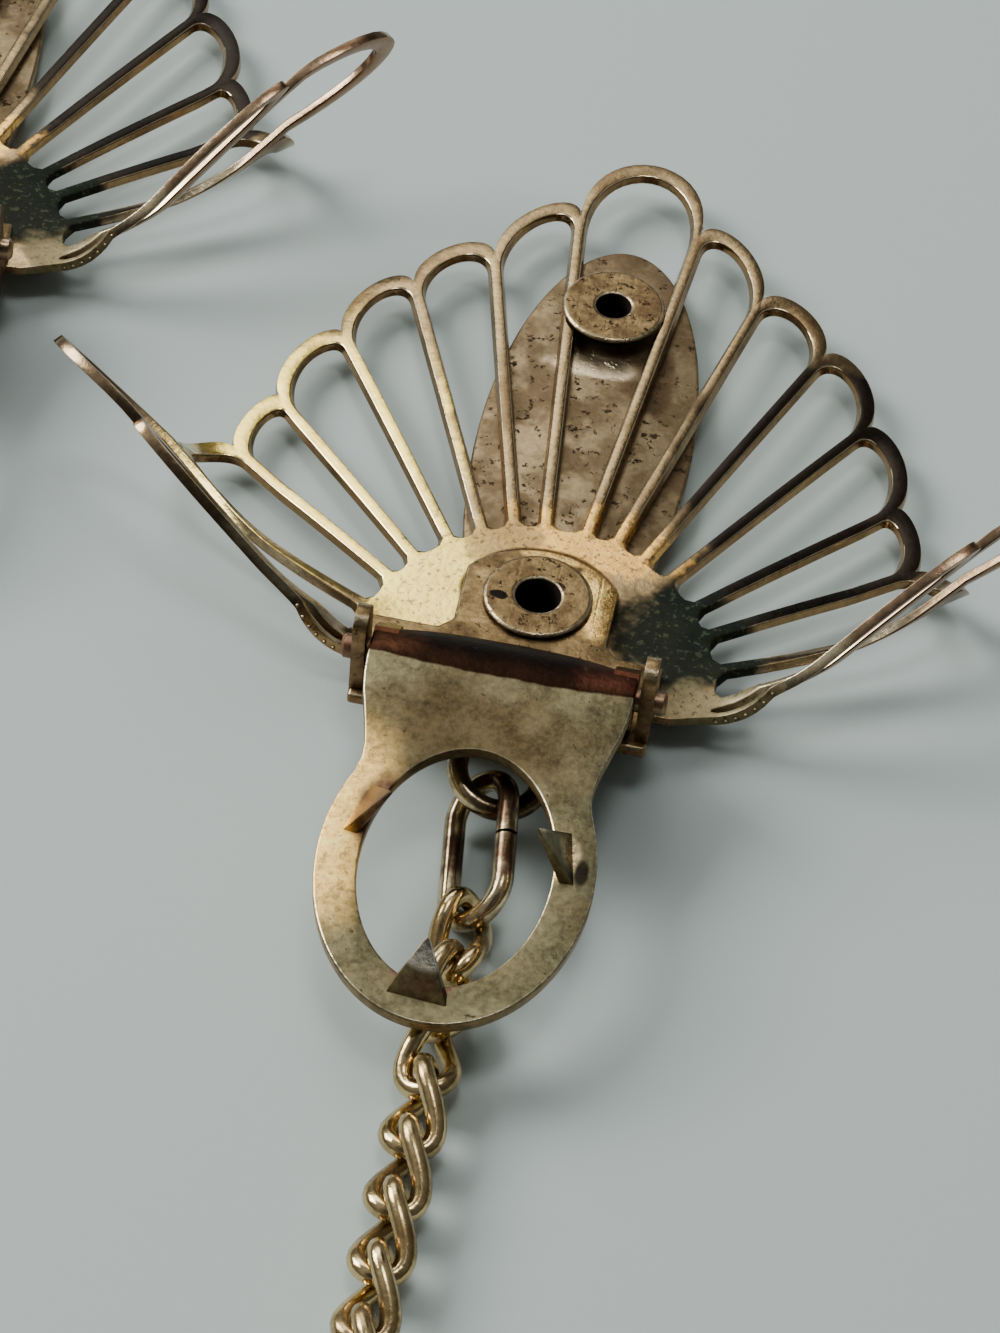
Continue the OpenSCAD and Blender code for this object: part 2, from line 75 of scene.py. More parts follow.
@dataclass(frozen=True)
class ClipPlace:
    """Where one of the two clips lies, read from the frame.

    Args:
        letter: "a" or "b", the end of its nodes' names.
    """

    letter: str

    def node(self, name: str) -> str:
        """Returns a plain name as this clip's CAD node or piece has it."""
        return f"{name}_{self.letter}"

    @property
    def lever_body(self) -> Body:
        """Returns the body that the clip's lever rides on."""
        return Body.LEVER_A if self.letter == "a" else Body.LEVER_B

    @property
    def matrix(self) -> Matrix:
        """Returns the move from the clip's own frame to the table, in millimetres."""
        low, top = middle(self.node("lower_rivet")), middle(self.node("upper_rivet"))
        rest_low, rest_top = middle("lower_rivet_a"), middle("upper_rivet_a")
        line, rest = (top - low).xy, (rest_top - rest_low).xy
        turn = atan2(line.y, line.x) - atan2(rest.y, rest.x)
        spot = Vector((low.x, low.y, 0))
        return Matrix.Translation(spot) @ Matrix.Rotation(turn, 4, "Z")

    def spot(self, x: float, y: float, z: float = 0.0) -> Triple:
        """Returns a point of the clip's own frame on the table, in metres."""
        return tuple(self.matrix @ Vector((x, y, z)) * MM)


# ---- Shader nodes -------------------------------------------------------------------------


class Wires:
    """Adds nodes to one shader tree. A value that feeds a node is a socket or a constant."""

    def __init__(self, tree: bpy.types.NodeTree) -> None:
        self.tree = tree

    def feed(self, socket, value) -> None:
        """Links a socket to another one, or sets its constant."""
        if isinstance(value, bpy.types.NodeSocket):
            self.tree.links.new(value, socket)
        else:
            socket.default_value = (*value, 1.0) if socket.type == "RGBA" else value

    def node(self, kind: str, inputs: dict | None = None, **settings) -> bpy.types.Node:
        """Adds a node.

        Args:
            kind: Its type, without the leading ShaderNode.
            inputs: Values by the number or name of the input.
            **settings: The node's own properties.

        Returns:
            The node.
        """
        node = self.tree.nodes.new(f"ShaderNode{kind}")
        for name, value in settings.items():
            setattr(node, name, value)
        for key, value in (inputs or {}).items():
            self.feed(node.inputs[key], value)
        return node

    def math(self, kind: str, a, b):
        """Returns the result of a Math node on two values."""
        return self.node("Math", {0: a, 1: b}, operation=kind).outputs[0]

    def minus(self, a, b):
        """Returns a less b."""
        return self.math("SUBTRACT", a, b)

    def times(self, a, b):
        """Returns a times b."""
        return self.math("MULTIPLY", a, b)

    def plus(self, a, b):
        """Returns a plus b."""
        return self.math("ADD", a, b)

    def step(self, source, low: float, high: float):
        """Returns a smooth step from low to high."""
        inputs = {"Value": source, "From Min": low, "From Max": high}
        return self.node("MapRange", inputs, interpolation_type="SMOOTHSTEP").outputs["Result"]

    def noise(self, where, scale, detail: float, roughness: float = 0.5):
        """Returns a noise value."""
        inputs = {"Vector": where, "Scale": scale, "Detail": detail, "Roughness": roughness}
        return self.node("TexNoise", inputs).outputs["Fac"]

    def scaled(self, vector, share):
        """Returns a vector or colour times a number."""
        return self.node("VectorMath", {0: vector, "Scale": share}, operation="SCALE").outputs[0]

    def blend(self, mask, a, b):
        """Returns two colours mixed by a mask."""
        return self.node("Mix", {0: mask, 6: a, 7: b}, data_type="RGBA").outputs[2]

    def between(self, mask, a, b):
        """Returns two numbers mixed by a mask."""
        return self.node("Mix", {0: mask, 2: a, 3: b}).outputs[0]

    def effect(self, effect: "Effect", where, **values):
        """Returns the mask of a shared group."""
        node = self.node("Group", node_tree=bpy.data.node_groups[effect.value])
        for label, value in {"Vector": where, **values}.items():
            self.feed(node.inputs[label], value)
        return node.outputs["Mask"]


class Effect(Enum):
    """The shader groups that the finishes share, each built once. Each turns a place into a mask."""

    BLOTCH = "blotch"
    SPECKS = "specks"
    GRAIN = "grain"
    SCRATCHES = "scratches"
    PATCH = "patch"

    def start(self, vectors: Iterable[str] = (), **numbers: float):
        """Makes the empty group with its sockets.

        Args:
            vectors: Names of the vectors that it takes besides the place.
            **numbers: Names and defaults of the numbers that it takes.

        Returns:
            Its wires, the values that it is given, and its result's socket.
        """
        tree = bpy.data.node_groups.new(self.value, "ShaderNodeTree")
        for label in ("Vector", *vectors):
            tree.interface.new_socket(label, in_out="INPUT", socket_type="NodeSocketVector")
        for label, value in numbers.items():
            socket = tree.interface.new_socket(label, in_out="INPUT", socket_type="NodeSocketFloat")
            socket.default_value = value
        tree.interface.new_socket("Mask", in_out="OUTPUT", socket_type="NodeSocketFloat")
        given, result = tree.nodes.new("NodeGroupInput"), tree.nodes.new("NodeGroupOutput")
        return Wires(tree), given.outputs, result.inputs["Mask"]

    @classmethod
    def build_all(cls) -> None:
        """Builds every group."""
        cls.BLOTCH.build_cloud(300, 0.5, (6, 0.62), (-0.09, 0.12))
        cls.SPECKS.build_cloud(2500, 0.3, (3, 0.7), (-0.02, 0.06))
        cls.GRAIN.build_grain()
        cls.SCRATCHES.build_scratches()
        cls.PATCH.build_patch()

    def build_cloud(
        self, scale: float, share: float, noise: Pair, edge: Pair
    ) -> None:
        """Makes a mask of spots that fill a set share: cloudy patches of patina, or small pits.

        Args:
            scale: The spots' default scale.
            share: Their default share.
            noise: The noise's detail and roughness.
            edge: Where a spot starts and is full.
        """
        wires, given, mask = self.start(Scale=scale, Share=share)
        cloud = wires.noise(given["Vector"], given["Scale"], *noise)
        lift = wires.minus(cloud, wires.minus(1.0, given["Share"]))
        wires.feed(mask, wires.step(lift, *edge))

    def build_grain(self) -> None:
        """Makes the fine mottling that lies over a whole finish, from two sizes of noise."""
        wires, given, mask = self.start(Scale=4000)
        fine, coarse = (
            wires.step(wires.noise(given["Vector"], wires.times(given["Scale"], share), 4, 0.65), 0.3, 0.7)
            for share in (1.0, 0.22)
        )
        wires.feed(mask, wires.times(wires.plus(fine, coarse), 0.5))

    def build_scratches(self) -> None:
        """Makes thin lines that cross at three angles."""
        wires, given, mask = self.start(Scale=900)
        lines = []
        for turn, squash in ((0.5, 0.035), (-0.35, 0.02), (1.35, 0.03)):
            inputs = {"Vector": given["Vector"], "Rotation": (0, 0, turn), "Scale": (1, squash, 1)}
            drawn = wires.noise(wires.node("Mapping", inputs).outputs["Vector"], given["Scale"], 2)
            lines.append(wires.step(drawn, 0.66, 0.74))
        pair = wires.math("MAXIMUM", lines[0], lines[1])
        wires.feed(mask, wires.math("MAXIMUM", pair, lines[2]))

    def build_patch(self) -> None:
        """Makes one patch, for tarnish, dirt and painted light and shade: a mask round a point, ragged at its
        edge.
        """
        wires, given, mask = self.start(("Centre", "Size"), Ragged=0.4, Soft=0.2)
        away = wires.node("VectorMath", {0: given["Vector"], 1: given["Centre"]}, operation="SUBTRACT")
        shares = wires.node("VectorMath", {0: away.outputs[0], 1: given["Size"]}, operation="DIVIDE")
        reach = wires.node("VectorMath", {0: shares.outputs[0]}, operation="LENGTH").outputs["Value"]
        jag = wires.times(wires.minus(wires.noise(given["Vector"], 900, 4), 0.5), 2.0)
        reach = wires.plus(reach, wires.times(jag, given["Ragged"]))
        past = wires.math("DIVIDE", wires.minus(reach, 1.0), given["Soft"])
        wires.feed(mask, wires.minus(1.0, wires.step(past, -1.0, 1.0)))


# ---- Finishes -----------------------------------------------------------------------------


@dataclass(frozen=True)
class StainOrPaintedLight:
    """One patch on one piece; the patches are tarnish, dirt, and painted light and shade.

    Args:
        centre: Its middle in the clip's own frame, in millimetres.
        size: Half its extent each way, in millimetres.
        colour: Its colour.
        roughness: Its roughness.
        metallic: How metallic it is.
        ragged: How torn its edge is.
        strength: How much of the metal it hides.
        top_only: Whether it lies only on the faces that look up.
        soft: Half the width over which it fades, as a share of its size.
        fleck: Colour of the small spots in it.
    """

    centre: Triple
    size: Triple
    colour: Triple
    roughness: float = 0.5
    metallic: float = 0.6
    ragged: float = 0.45
    strength: float = 1.0
    top_only: bool = False
    soft: float = 0.2
    fleck: Triple | None = None


@dataclass(frozen=True)
class Look:
    """What a finish shows at a point. Each value is a socket or a constant."""

    colour: object
    rough: object
    metal: object

    def under(self, wires: Wires, mask, colour, rough=None, metal=None) -> "Look":
        """Returns this look with another over it wherever the mask is; None leaves a value as it is."""
        return Look(
            wires.blend(mask, self.colour, colour),
            self.rough if rough is None else wires.between(mask, self.rough, rough),
            self.metal if metal is None else wires.between(mask, self.metal, metal),
        )


@dataclass(frozen=True)
class AgedMetal:
    """A rubbed, aged metal finish: a bright metal, a patina in patches, pits, scratches, bright edges of
    rubbed wear and painted highlight, darker steep faces of tarnish and painted shade, and patches of tarnish,
    dirt and painted light and shade.

    Args:
        name: The material's name.
        bright: Colour of the rubbed bare metal.
        dull: Colour of the patina.
        pits: Colour of the specks.
        cover: Share that the patina covers.
        patina_scale: Scale of the patina's patches.
        speck_share: Share that the specks cover.
        speck_scale: Scale of the specks.
        shine: Roughness of the rubbed bare metal.
        dull_rough: Roughness of the patina.
        dull_metal: How metallic the patina is.
        scratch: Strength of the scratches.
        bump: Depth of the pits, in millimetres.
        grain: Strength of the fine mottling.
        wall: Colour of the steep faces, if it is another: tarnish on the cut walls and painted shade.
        edge: Strength of the bright edges: rubbed wear and a painted highlight.
        stains_and_painted_light: Patches of tarnish and dirt, and of painted light and shade.
        place: The clip that they are measured on.
    """

    name: str
    bright: Triple
    dull: Triple
    pits: Triple
    cover: float = 0.5
    patina_scale: float = 260.0
    speck_share: float = 0.3
    speck_scale: float = 2600.0
    shine: float = 0.22
    dull_rough: float = 0.42
    dull_metal: float = 0.85
    scratch: float = 0.2
    bump: float = 0.04
    grain: float = 0.25
    wall: Triple | None = None
    edge: float = 0.0
    stains_and_painted_light: tuple[StainOrPaintedLight, ...] = ()
    place: ClipPlace | None = None

    GRAIN_SCALE = 4200.0
    SCRATCH_SCALE = 2200.0
    SCRATCH_GAIN = 1.35
    FLECK = {"Scale": 3600.0, "Share": 0.43}
    PIT_ROUGH, PIT_METAL = 0.6, 0.5
    # Steep faces take this share of the wall colour: tarnish and painted shade.
    WALL_SHARE = 0.75
    # Bright edge colour: rubbed wear and a painted highlight.
    WORN_COLOUR, WORN_ROUGH = (1.0, 0.86, 0.56), 0.14
    STEEP, TILTED, LEVEL, UPWARD = (0.15, 0.5), (0.58, 0.72), (0.9, 0.97), (0.8, 0.97)
    SPECULAR = 0.08
    GRAIN_ROUGH = 0.2
    RELIEF = 0.5

    def build(self) -> bpy.types.Material:
        """Makes the material."""
        material = bpy.data.materials.new(self.name)
        material.use_nodes = True
        wires = Wires(material.node_tree)
        where = wires.node("TexCoord").outputs["Object"]
        normal = wires.node("NewGeometry").outputs["Normal"]
        facing = wires.node("SeparateXYZ", {0: normal}).outputs["Z"]
        blotch = wires.effect(Effect.BLOTCH, where, Scale=self.patina_scale, Share=self.cover)
        specks = wires.effect(Effect.SPECKS, where, Scale=self.speck_scale, Share=self.speck_share)
        marks = wires.times(wires.effect(Effect.SCRATCHES, where, Scale=self.SCRATCH_SCALE), self.scratch)
        look = Look(self.bright, self.shine, 1.0)
        look = look.under(wires, blotch, self.dull, self.dull_rough, self.dull_metal)
        look = look.under(wires, specks, self.pits, self.PIT_ROUGH, self.PIT_METAL)
        look = look.under(wires, marks, tuple(min(1.0, c * self.SCRATCH_GAIN) for c in self.bright))
        look = self.stained_and_lit(wires, where, facing, self.worn_and_lit(wires, facing, look))
        grain = wires.effect(Effect.GRAIN, where, Scale=self.GRAIN_SCALE)
        light = wires.plus(wires.times(grain, 2 * self.grain), 1 - self.grain)
        height = wires.plus(wires.plus(specks, marks), wires.times(grain, self.grain))
        relief = {"Strength": self.RELIEF, "Distance": self.bump * MM, "Height": height}
        values = {
            "Base Color": wires.scaled(look.colour, light),
            "Roughness": wires.plus(look.rough, wires.times(grain, self.grain * self.GRAIN_ROUGH)),
            "Metallic": look.metal,
            "Specular IOR Level": self.SPECULAR,
            "Normal": wires.node("Bump", relief, invert=True).outputs["Normal"],
        }
        for label, value in values.items():
            wires.feed(material.node_tree.nodes["Principled BSDF"].inputs[label], value)
        return material

    def worn_and_lit(self, wires: Wires, facing, look: Look) -> Look:
        """Returns the look with its other colour on steep faces, tarnish and painted shade, and its bright
        edges, rubbed wear and a painted highlight.
        """
        # Steep faces darker: tarnish on the cut walls and painted shade.
        if self.wall is not None:
            flat = wires.step(wires.math("ABSOLUTE", facing, 0.0), *self.STEEP)
            look = look.under(wires, wires.times(wires.minus(1.0, flat), self.WALL_SHARE), self.wall)
        # Sloped faces of rounded edges brighter: rubbed wear and a painted highlight.
        if self.edge:
            tilted, level = wires.step(facing, *self.TILTED), wires.step(facing, *self.LEVEL)
            slope = wires.times(tilted, wires.minus(1.0, level))
            look = look.under(wires, wires.times(slope, self.edge), self.WORN_COLOUR, self.WORN_ROUGH)
        return look

    def stained_and_lit(self, wires: Wires, where, facing, look: Look) -> Look:
        """Returns the look with every patch of tarnish, dirt and painted light and shade over it, in order."""
        upward = wires.step(facing, *self.UPWARD)
        flecks = wires.effect(Effect.SPECKS, where, **self.FLECK)
        for patch_spec in self.stains_and_painted_light:
            size = tuple(v * MM for v in patch_spec.size)
            centre = self.place.spot(*patch_spec.centre)
            mask = wires.effect(
                Effect.PATCH, where, Centre=centre, Size=size, Ragged=patch_spec.ragged, Soft=patch_spec.soft
            )
            mask = wires.times(mask, patch_spec.strength)
            if patch_spec.top_only:
                mask = wires.times(mask, upward)
            colour = patch_spec.colour if patch_spec.fleck is None else wires.blend(flecks, patch_spec.colour, patch_spec.fleck)
            look = look.under(wires, mask, colour, patch_spec.roughness, patch_spec.metallic)
        return look


class Finishes:
    """The object's finishes, made for one clip or for the chain."""

    # Pale cream for painted highlights where the light falls on the hub and the ribs on the left.
    CREAM_HIGHLIGHT: Triple = (1.0, 0.73, 0.18)
    # Near black: painted shade and painted dark reflections, and black tarnish.
    BLACK_SHADE_AND_TARNISH: Triple = (0.012, 0.009, 0.007)
    VERDIGRIS: Triple = (0.011, 0.015, 0.01)

    @classmethod
    def fan(cls, place: ClipPlace) -> AgedMetal:
        """Returns the pierced sheet's finish: a painted highlight on the left; on the right black that is
        partly tarnish and partly a painted dark reflection, and green verdigris.
        """
        back = 1.7
        return AgedMetal(
            place.node("fan_gold"), (0.31, 0.215, 0.105), (0.215, 0.137, 0.063), (0.075, 0.045, 0.022),
            cover=0.45, speck_share=0.24, shine=0.14, dull_rough=0.22, scratch=0.04,
            # wall: tarnish and painted shade on steep faces; edge: rubbed wear and a painted highlight.
            wall=(0.30, 0.165, 0.08), grain=0.3, edge=0.6, place=place,
            stains_and_painted_light=(
                StainOrPaintedLight((-15.5, 3.0, 8.2), (6.0, 11.0, 5.6), (0.24, 0.15, 0.08), 0.2, 1.0, 0.1, 0.85, soft=0.1),
                StainOrPaintedLight((15.5, 3.0, 8.2), (6.0, 11.0, 5.6), (0.24, 0.14, 0.08), 0.2, 1.0, 0.1, 0.85, soft=0.1),
                # Painted highlight on the tops of the left ribs.
                StainOrPaintedLight((-10.6, 6.0, back), (6.0, 7.0, 3.0), cls.CREAM_HIGHLIGHT, 0.13, 1.0, 0.5, 0.9, True, 0.3),
                # Black on the tops of the right ribs: partly tarnish, partly a painted dark reflection.
                StainOrPaintedLight((11.0, 9.2, back), (7.2, 7.4, 3.0), cls.BLACK_SHADE_AND_TARNISH, 0.2, 0.6, 0.15, 0.97, True, 0.12),
                StainOrPaintedLight((15.0, 4.2, back), (1.5, 2.0, 3.0), (0.30, 0.21, 0.11), 0.25, 1.0, 0.3, 0.95, True),
                # More of the same black over the right petals: partly tarnish, partly a painted dark
                # reflection.
                StainOrPaintedLight((8.6, 2.3, back), (4.2, 3.5, 3.0), cls.BLACK_SHADE_AND_TARNISH, 0.25, 0.5, 0.3, 0.97, True, 0.15),
                # Painted highlight on the hub's top, flecked with patina.
                StainOrPaintedLight(
                    (1.2, 3.9, back), (3.9, 1.7, 2.0), (0.95, 0.54, 0.14),
                    0.25, 1.0, 0.6, 0.9, fleck=(0.34, 0.19, 0.08),
                ),
                StainOrPaintedLight(
                    (5.9, -0.2, back), (3.0, 2.6, 2.0), cls.VERDIGRIS,
                    0.75, 0.0, 0.5, 0.98, fleck=(0.045, 0.055, 0.03),
                ),
                StainOrPaintedLight(
                    (7.6, -3.2, back), (2.2, 1.2, 2.0), (0.20, 0.165, 0.085),
                    0.5, 0.7, 0.8, 0.85, fleck=(0.06, 0.055, 0.03),
                ),
                # Painted highlight on the hub's left, flecked with patina.
                StainOrPaintedLight(
                    (-4.2, 0.9, back), (2.4, 3.4, 2.0), cls.CREAM_HIGHLIGHT,
                    0.2, 1.0, 0.4, 0.97, True, fleck=(0.42, 0.33, 0.13),
                ),
                StainOrPaintedLight(
                    (-1.7, 3.3, back), (1.5, 1.5, 2.0), (0.42, 0.27, 0.11),
                    0.3, 1.0, 0.6, 0.85, fleck=(0.2, 0.12, 0.05),
                ),
                # Painted shadow: a thin dark line round the edge of the bracket's tongue.
                StainOrPaintedLight((0.0, 0.6, back), (3.0, 2.5, 2.0), cls.BLACK_SHADE_AND_TARNISH, 0.6, 0.0, 0.03, 0.9, True, 0.03),
            ),
        )

    @classmethod
    def plate(cls, place: ClipPlace) -> AgedMetal:
        """Returns the oval plate's mottled brown finish, with a painted highlight below the upper rivet, a
        painted shadow of the ribs beside it and painted shade in its bore.
        """
        return AgedMetal(
            place.node("plate_bronze"), (0.31, 0.225, 0.122), (0.18, 0.122, 0.063), (0.055, 0.036, 0.02),
            cover=0.52, patina_scale=560, speck_share=0.4, speck_scale=2400, shine=0.34, dull_rough=0.48,
            scratch=0.08, place=place,
            stains_and_painted_light=(
                # Painted highlight below the upper rivet.
                StainOrPaintedLight((-0.1, 13.9, 1.05), (1.9, 0.6, 1.0), (1.0, 0.80, 0.52), 0.28, 1.0, 0.5, 0.9),
                # Painted shadow of the ribs on the plate's right.
                StainOrPaintedLight((2.2, 13.4, 1.05), (1.0, 1.8, 1.0), (0.10, 0.06, 0.03), 0.5, 0.7, 0.8, 0.75),
                # Painted shade in and round the upper rivet's bore.
                StainOrPaintedLight((0.1, 16.65, 0.8), (1.5, 1.5, 1.0), cls.BLACK_SHADE_AND_TARNISH, 0.9, 0.0, 0.0, 1.0),
            ),
        )

    @classmethod
    def rivet(cls, place: ClipPlace) -> AgedMetal:
        """Returns the rivets' finish, black inside: painted shade in the bores."""
        # Painted shade: black inside both bores.
        holes = tuple(
            StainOrPaintedLight((x, y, 1.3), (reach, reach, 90), cls.BLACK_SHADE_AND_TARNISH, 0.9, 0.0, 0.06, 1.0, soft=0.03)
            for (x, y), reach in zip(RIVET_SPOTS, (0.88, 0.72))
        )
        return AgedMetal(
            place.node("rivet_copper"), (0.25, 0.168, 0.075), (0.13, 0.08, 0.036), (0.04, 0.024, 0.012),
            # edge: rubbed wear and a painted highlight.
            patina_scale=900, speck_share=0.41, shine=0.3, grain=0.5, edge=0.4, place=place,
            stains_and_painted_light=(StainOrPaintedLight((-1.5, -0.35, 2.45), (0.34, 0.2, 0.3), cls.BLACK_SHADE_AND_TARNISH, 0.6, 0.2, 1.3), *holes),
        )

    @classmethod
    def bracket(cls, place: ClipPlace) -> AgedMetal:
        """Returns the bracket's finish: coppery, with a painted highlight along the tongue's right edge and
        top.
        """
        return AgedMetal(
            place.node("bracket_gold"), (0.27, 0.178, 0.078), (0.155, 0.1, 0.044), (0.06, 0.036, 0.018),
            # wall: tarnish and painted shade on steep faces; edge: rubbed wear and a painted highlight.
            patina_scale=620, speck_share=0.37, shine=0.28, dull_rough=0.4, wall=(0.22, 0.12, 0.06),
            grain=0.5, edge=0.3, place=place,
            stains_and_painted_light=(
                # Painted highlight along the tongue's right edge and its top.
                StainOrPaintedLight((2.3, 0.9, 2.25), (0.8, 2.4, 1.0), (1.0, 0.62, 0.2), 0.2, 1.0, 0.6, 0.95),
                StainOrPaintedLight((0.5, 2.35, 2.25), (1.6, 0.4, 1.0), (1.0, 0.62, 0.2), 0.2, 1.0, 0.5, 0.85),
            ),
        )

    @classmethod
    def lever(cls, place: ClipPlace) -> AgedMetal:
        """Returns the lever's olive gold: brown in the middle, a painted dark reflection on the heel with
        reddish painted reflections at its ends, a painted highlight at the left, and painted highlights and
        shade at the right and bottom teeth.
        """
        return AgedMetal(
            place.node("lever_gold"), (0.155, 0.134, 0.072), (0.14, 0.115, 0.058), (0.07, 0.05, 0.024),
            # edge: rubbed wear and a painted highlight; wall: tarnish and painted shade on steep faces.
            patina_scale=640, speck_share=0.33, speck_scale=3000, grain=0.5, edge=0.7, shine=0.32,
            dull_rough=0.4, scratch=0.1, dull_metal=0.95, wall=(0.30, 0.19, 0.08), place=place,
            stains_and_painted_light=(
                StainOrPaintedLight((-0.9, -9.2, 4.6), (3.9, 2.2, 2.5), (0.088, 0.06, 0.026), 0.4, 0.9, 0.5, 0.75, soft=0.5),
                # Painted highlight along the left band, flecked with patina.
                StainOrPaintedLight(
                    (-4.5, -13.6, 4.0), (1.5, 3.6, 2.0), (1.0, 0.64, 0.20),
                    0.4, 1.0, 0.15, 0.95, soft=0.5, fleck=(0.6, 0.36, 0.12),
                ),
                # Painted dark reflection on the heel's bend.
                StainOrPaintedLight((-0.41, -4.9, 4.5), (12, 1.7, 1.8), (0.016, 0.007, 0.0035), 0.3, 1.0, 0.08, soft=0.03),
                # Reddish painted reflections at the heel's two ends.
                StainOrPaintedLight((-4.7, -5.2, 4.5), (1.5, 1.0, 1.8), (0.11, 0.042, 0.02), 0.3, 1.0, 0.8, 0.7, soft=0.45),
                StainOrPaintedLight((3.8, -5.2, 4.5), (1.5, 1.0, 1.8), (0.12, 0.04, 0.022), 0.3, 1.0, 0.8, 0.7, soft=0.45),
                StainOrPaintedLight((-3.4, -13.2, 4.9), (1.0, 1.9, 1.6), (0.14, 0.075, 0.045), 0.3, 0.9, 0.3, 0.95),
                # Painted highlight on the right tooth and painted shade beside its foot.
                StainOrPaintedLight((2.9, -13.3, 3.9), (0.8, 0.9, 0.9), (0.70, 0.54, 0.30), 0.18, 1.0, 0.3, 0.9),
                StainOrPaintedLight((3.9, -13.8, 3.7), (0.3, 0.7, 0.6), cls.BLACK_SHADE_AND_TARNISH, 0.3, 0.6, 0.3, 0.9),
                # Painted highlight on the bottom tooth's tip and painted shade in its bend.
                StainOrPaintedLight((-0.6, -18.9, 4.9), (0.9, 0.9, 0.75), (0.62, 0.56, 0.48), 0.15, 1.0, 0.15, 0.95),
                StainOrPaintedLight((-0.6, -18.7, 3.4), (1.2, 1.0, 1.0), (0.15, 0.075, 0.045), 0.3, 0.9, 0.3, 0.95),
            ),
        )

    @classmethod
    def pin(cls) -> AgedMetal:
        """Returns the hinge pin's reddish finish."""
        return AgedMetal("pin_dark", (0.42, 0.29, 0.18), (0.22, 0.12, 0.07), (0.06, 0.04, 0.03), shine=0.22)

    @classmethod
    def rings(cls) -> AgedMetal:
        """Returns the jump rings' dark brown gold."""
        return AgedMetal(
            "ring_dark", (0.80, 0.65, 0.38), (0.10, 0.055, 0.03), (0.05, 0.03, 0.02),
            patina_scale=300, speck_share=0.2, shine=0.1, dull_rough=0.2,
        )

    @classmethod
    def chain(cls) -> AgedMetal:
        """Returns the chain's worn gold."""
        return AgedMetal(
            "chain_gold", (0.66, 0.49, 0.24), (0.24, 0.16, 0.07), (0.10, 0.06, 0.03),
            cover=0.47, patina_scale=420, speck_share=0.22, shine=0.12, dull_rough=0.26,
        )


# ---- Mesh work ----------------------------------------------------------------------------


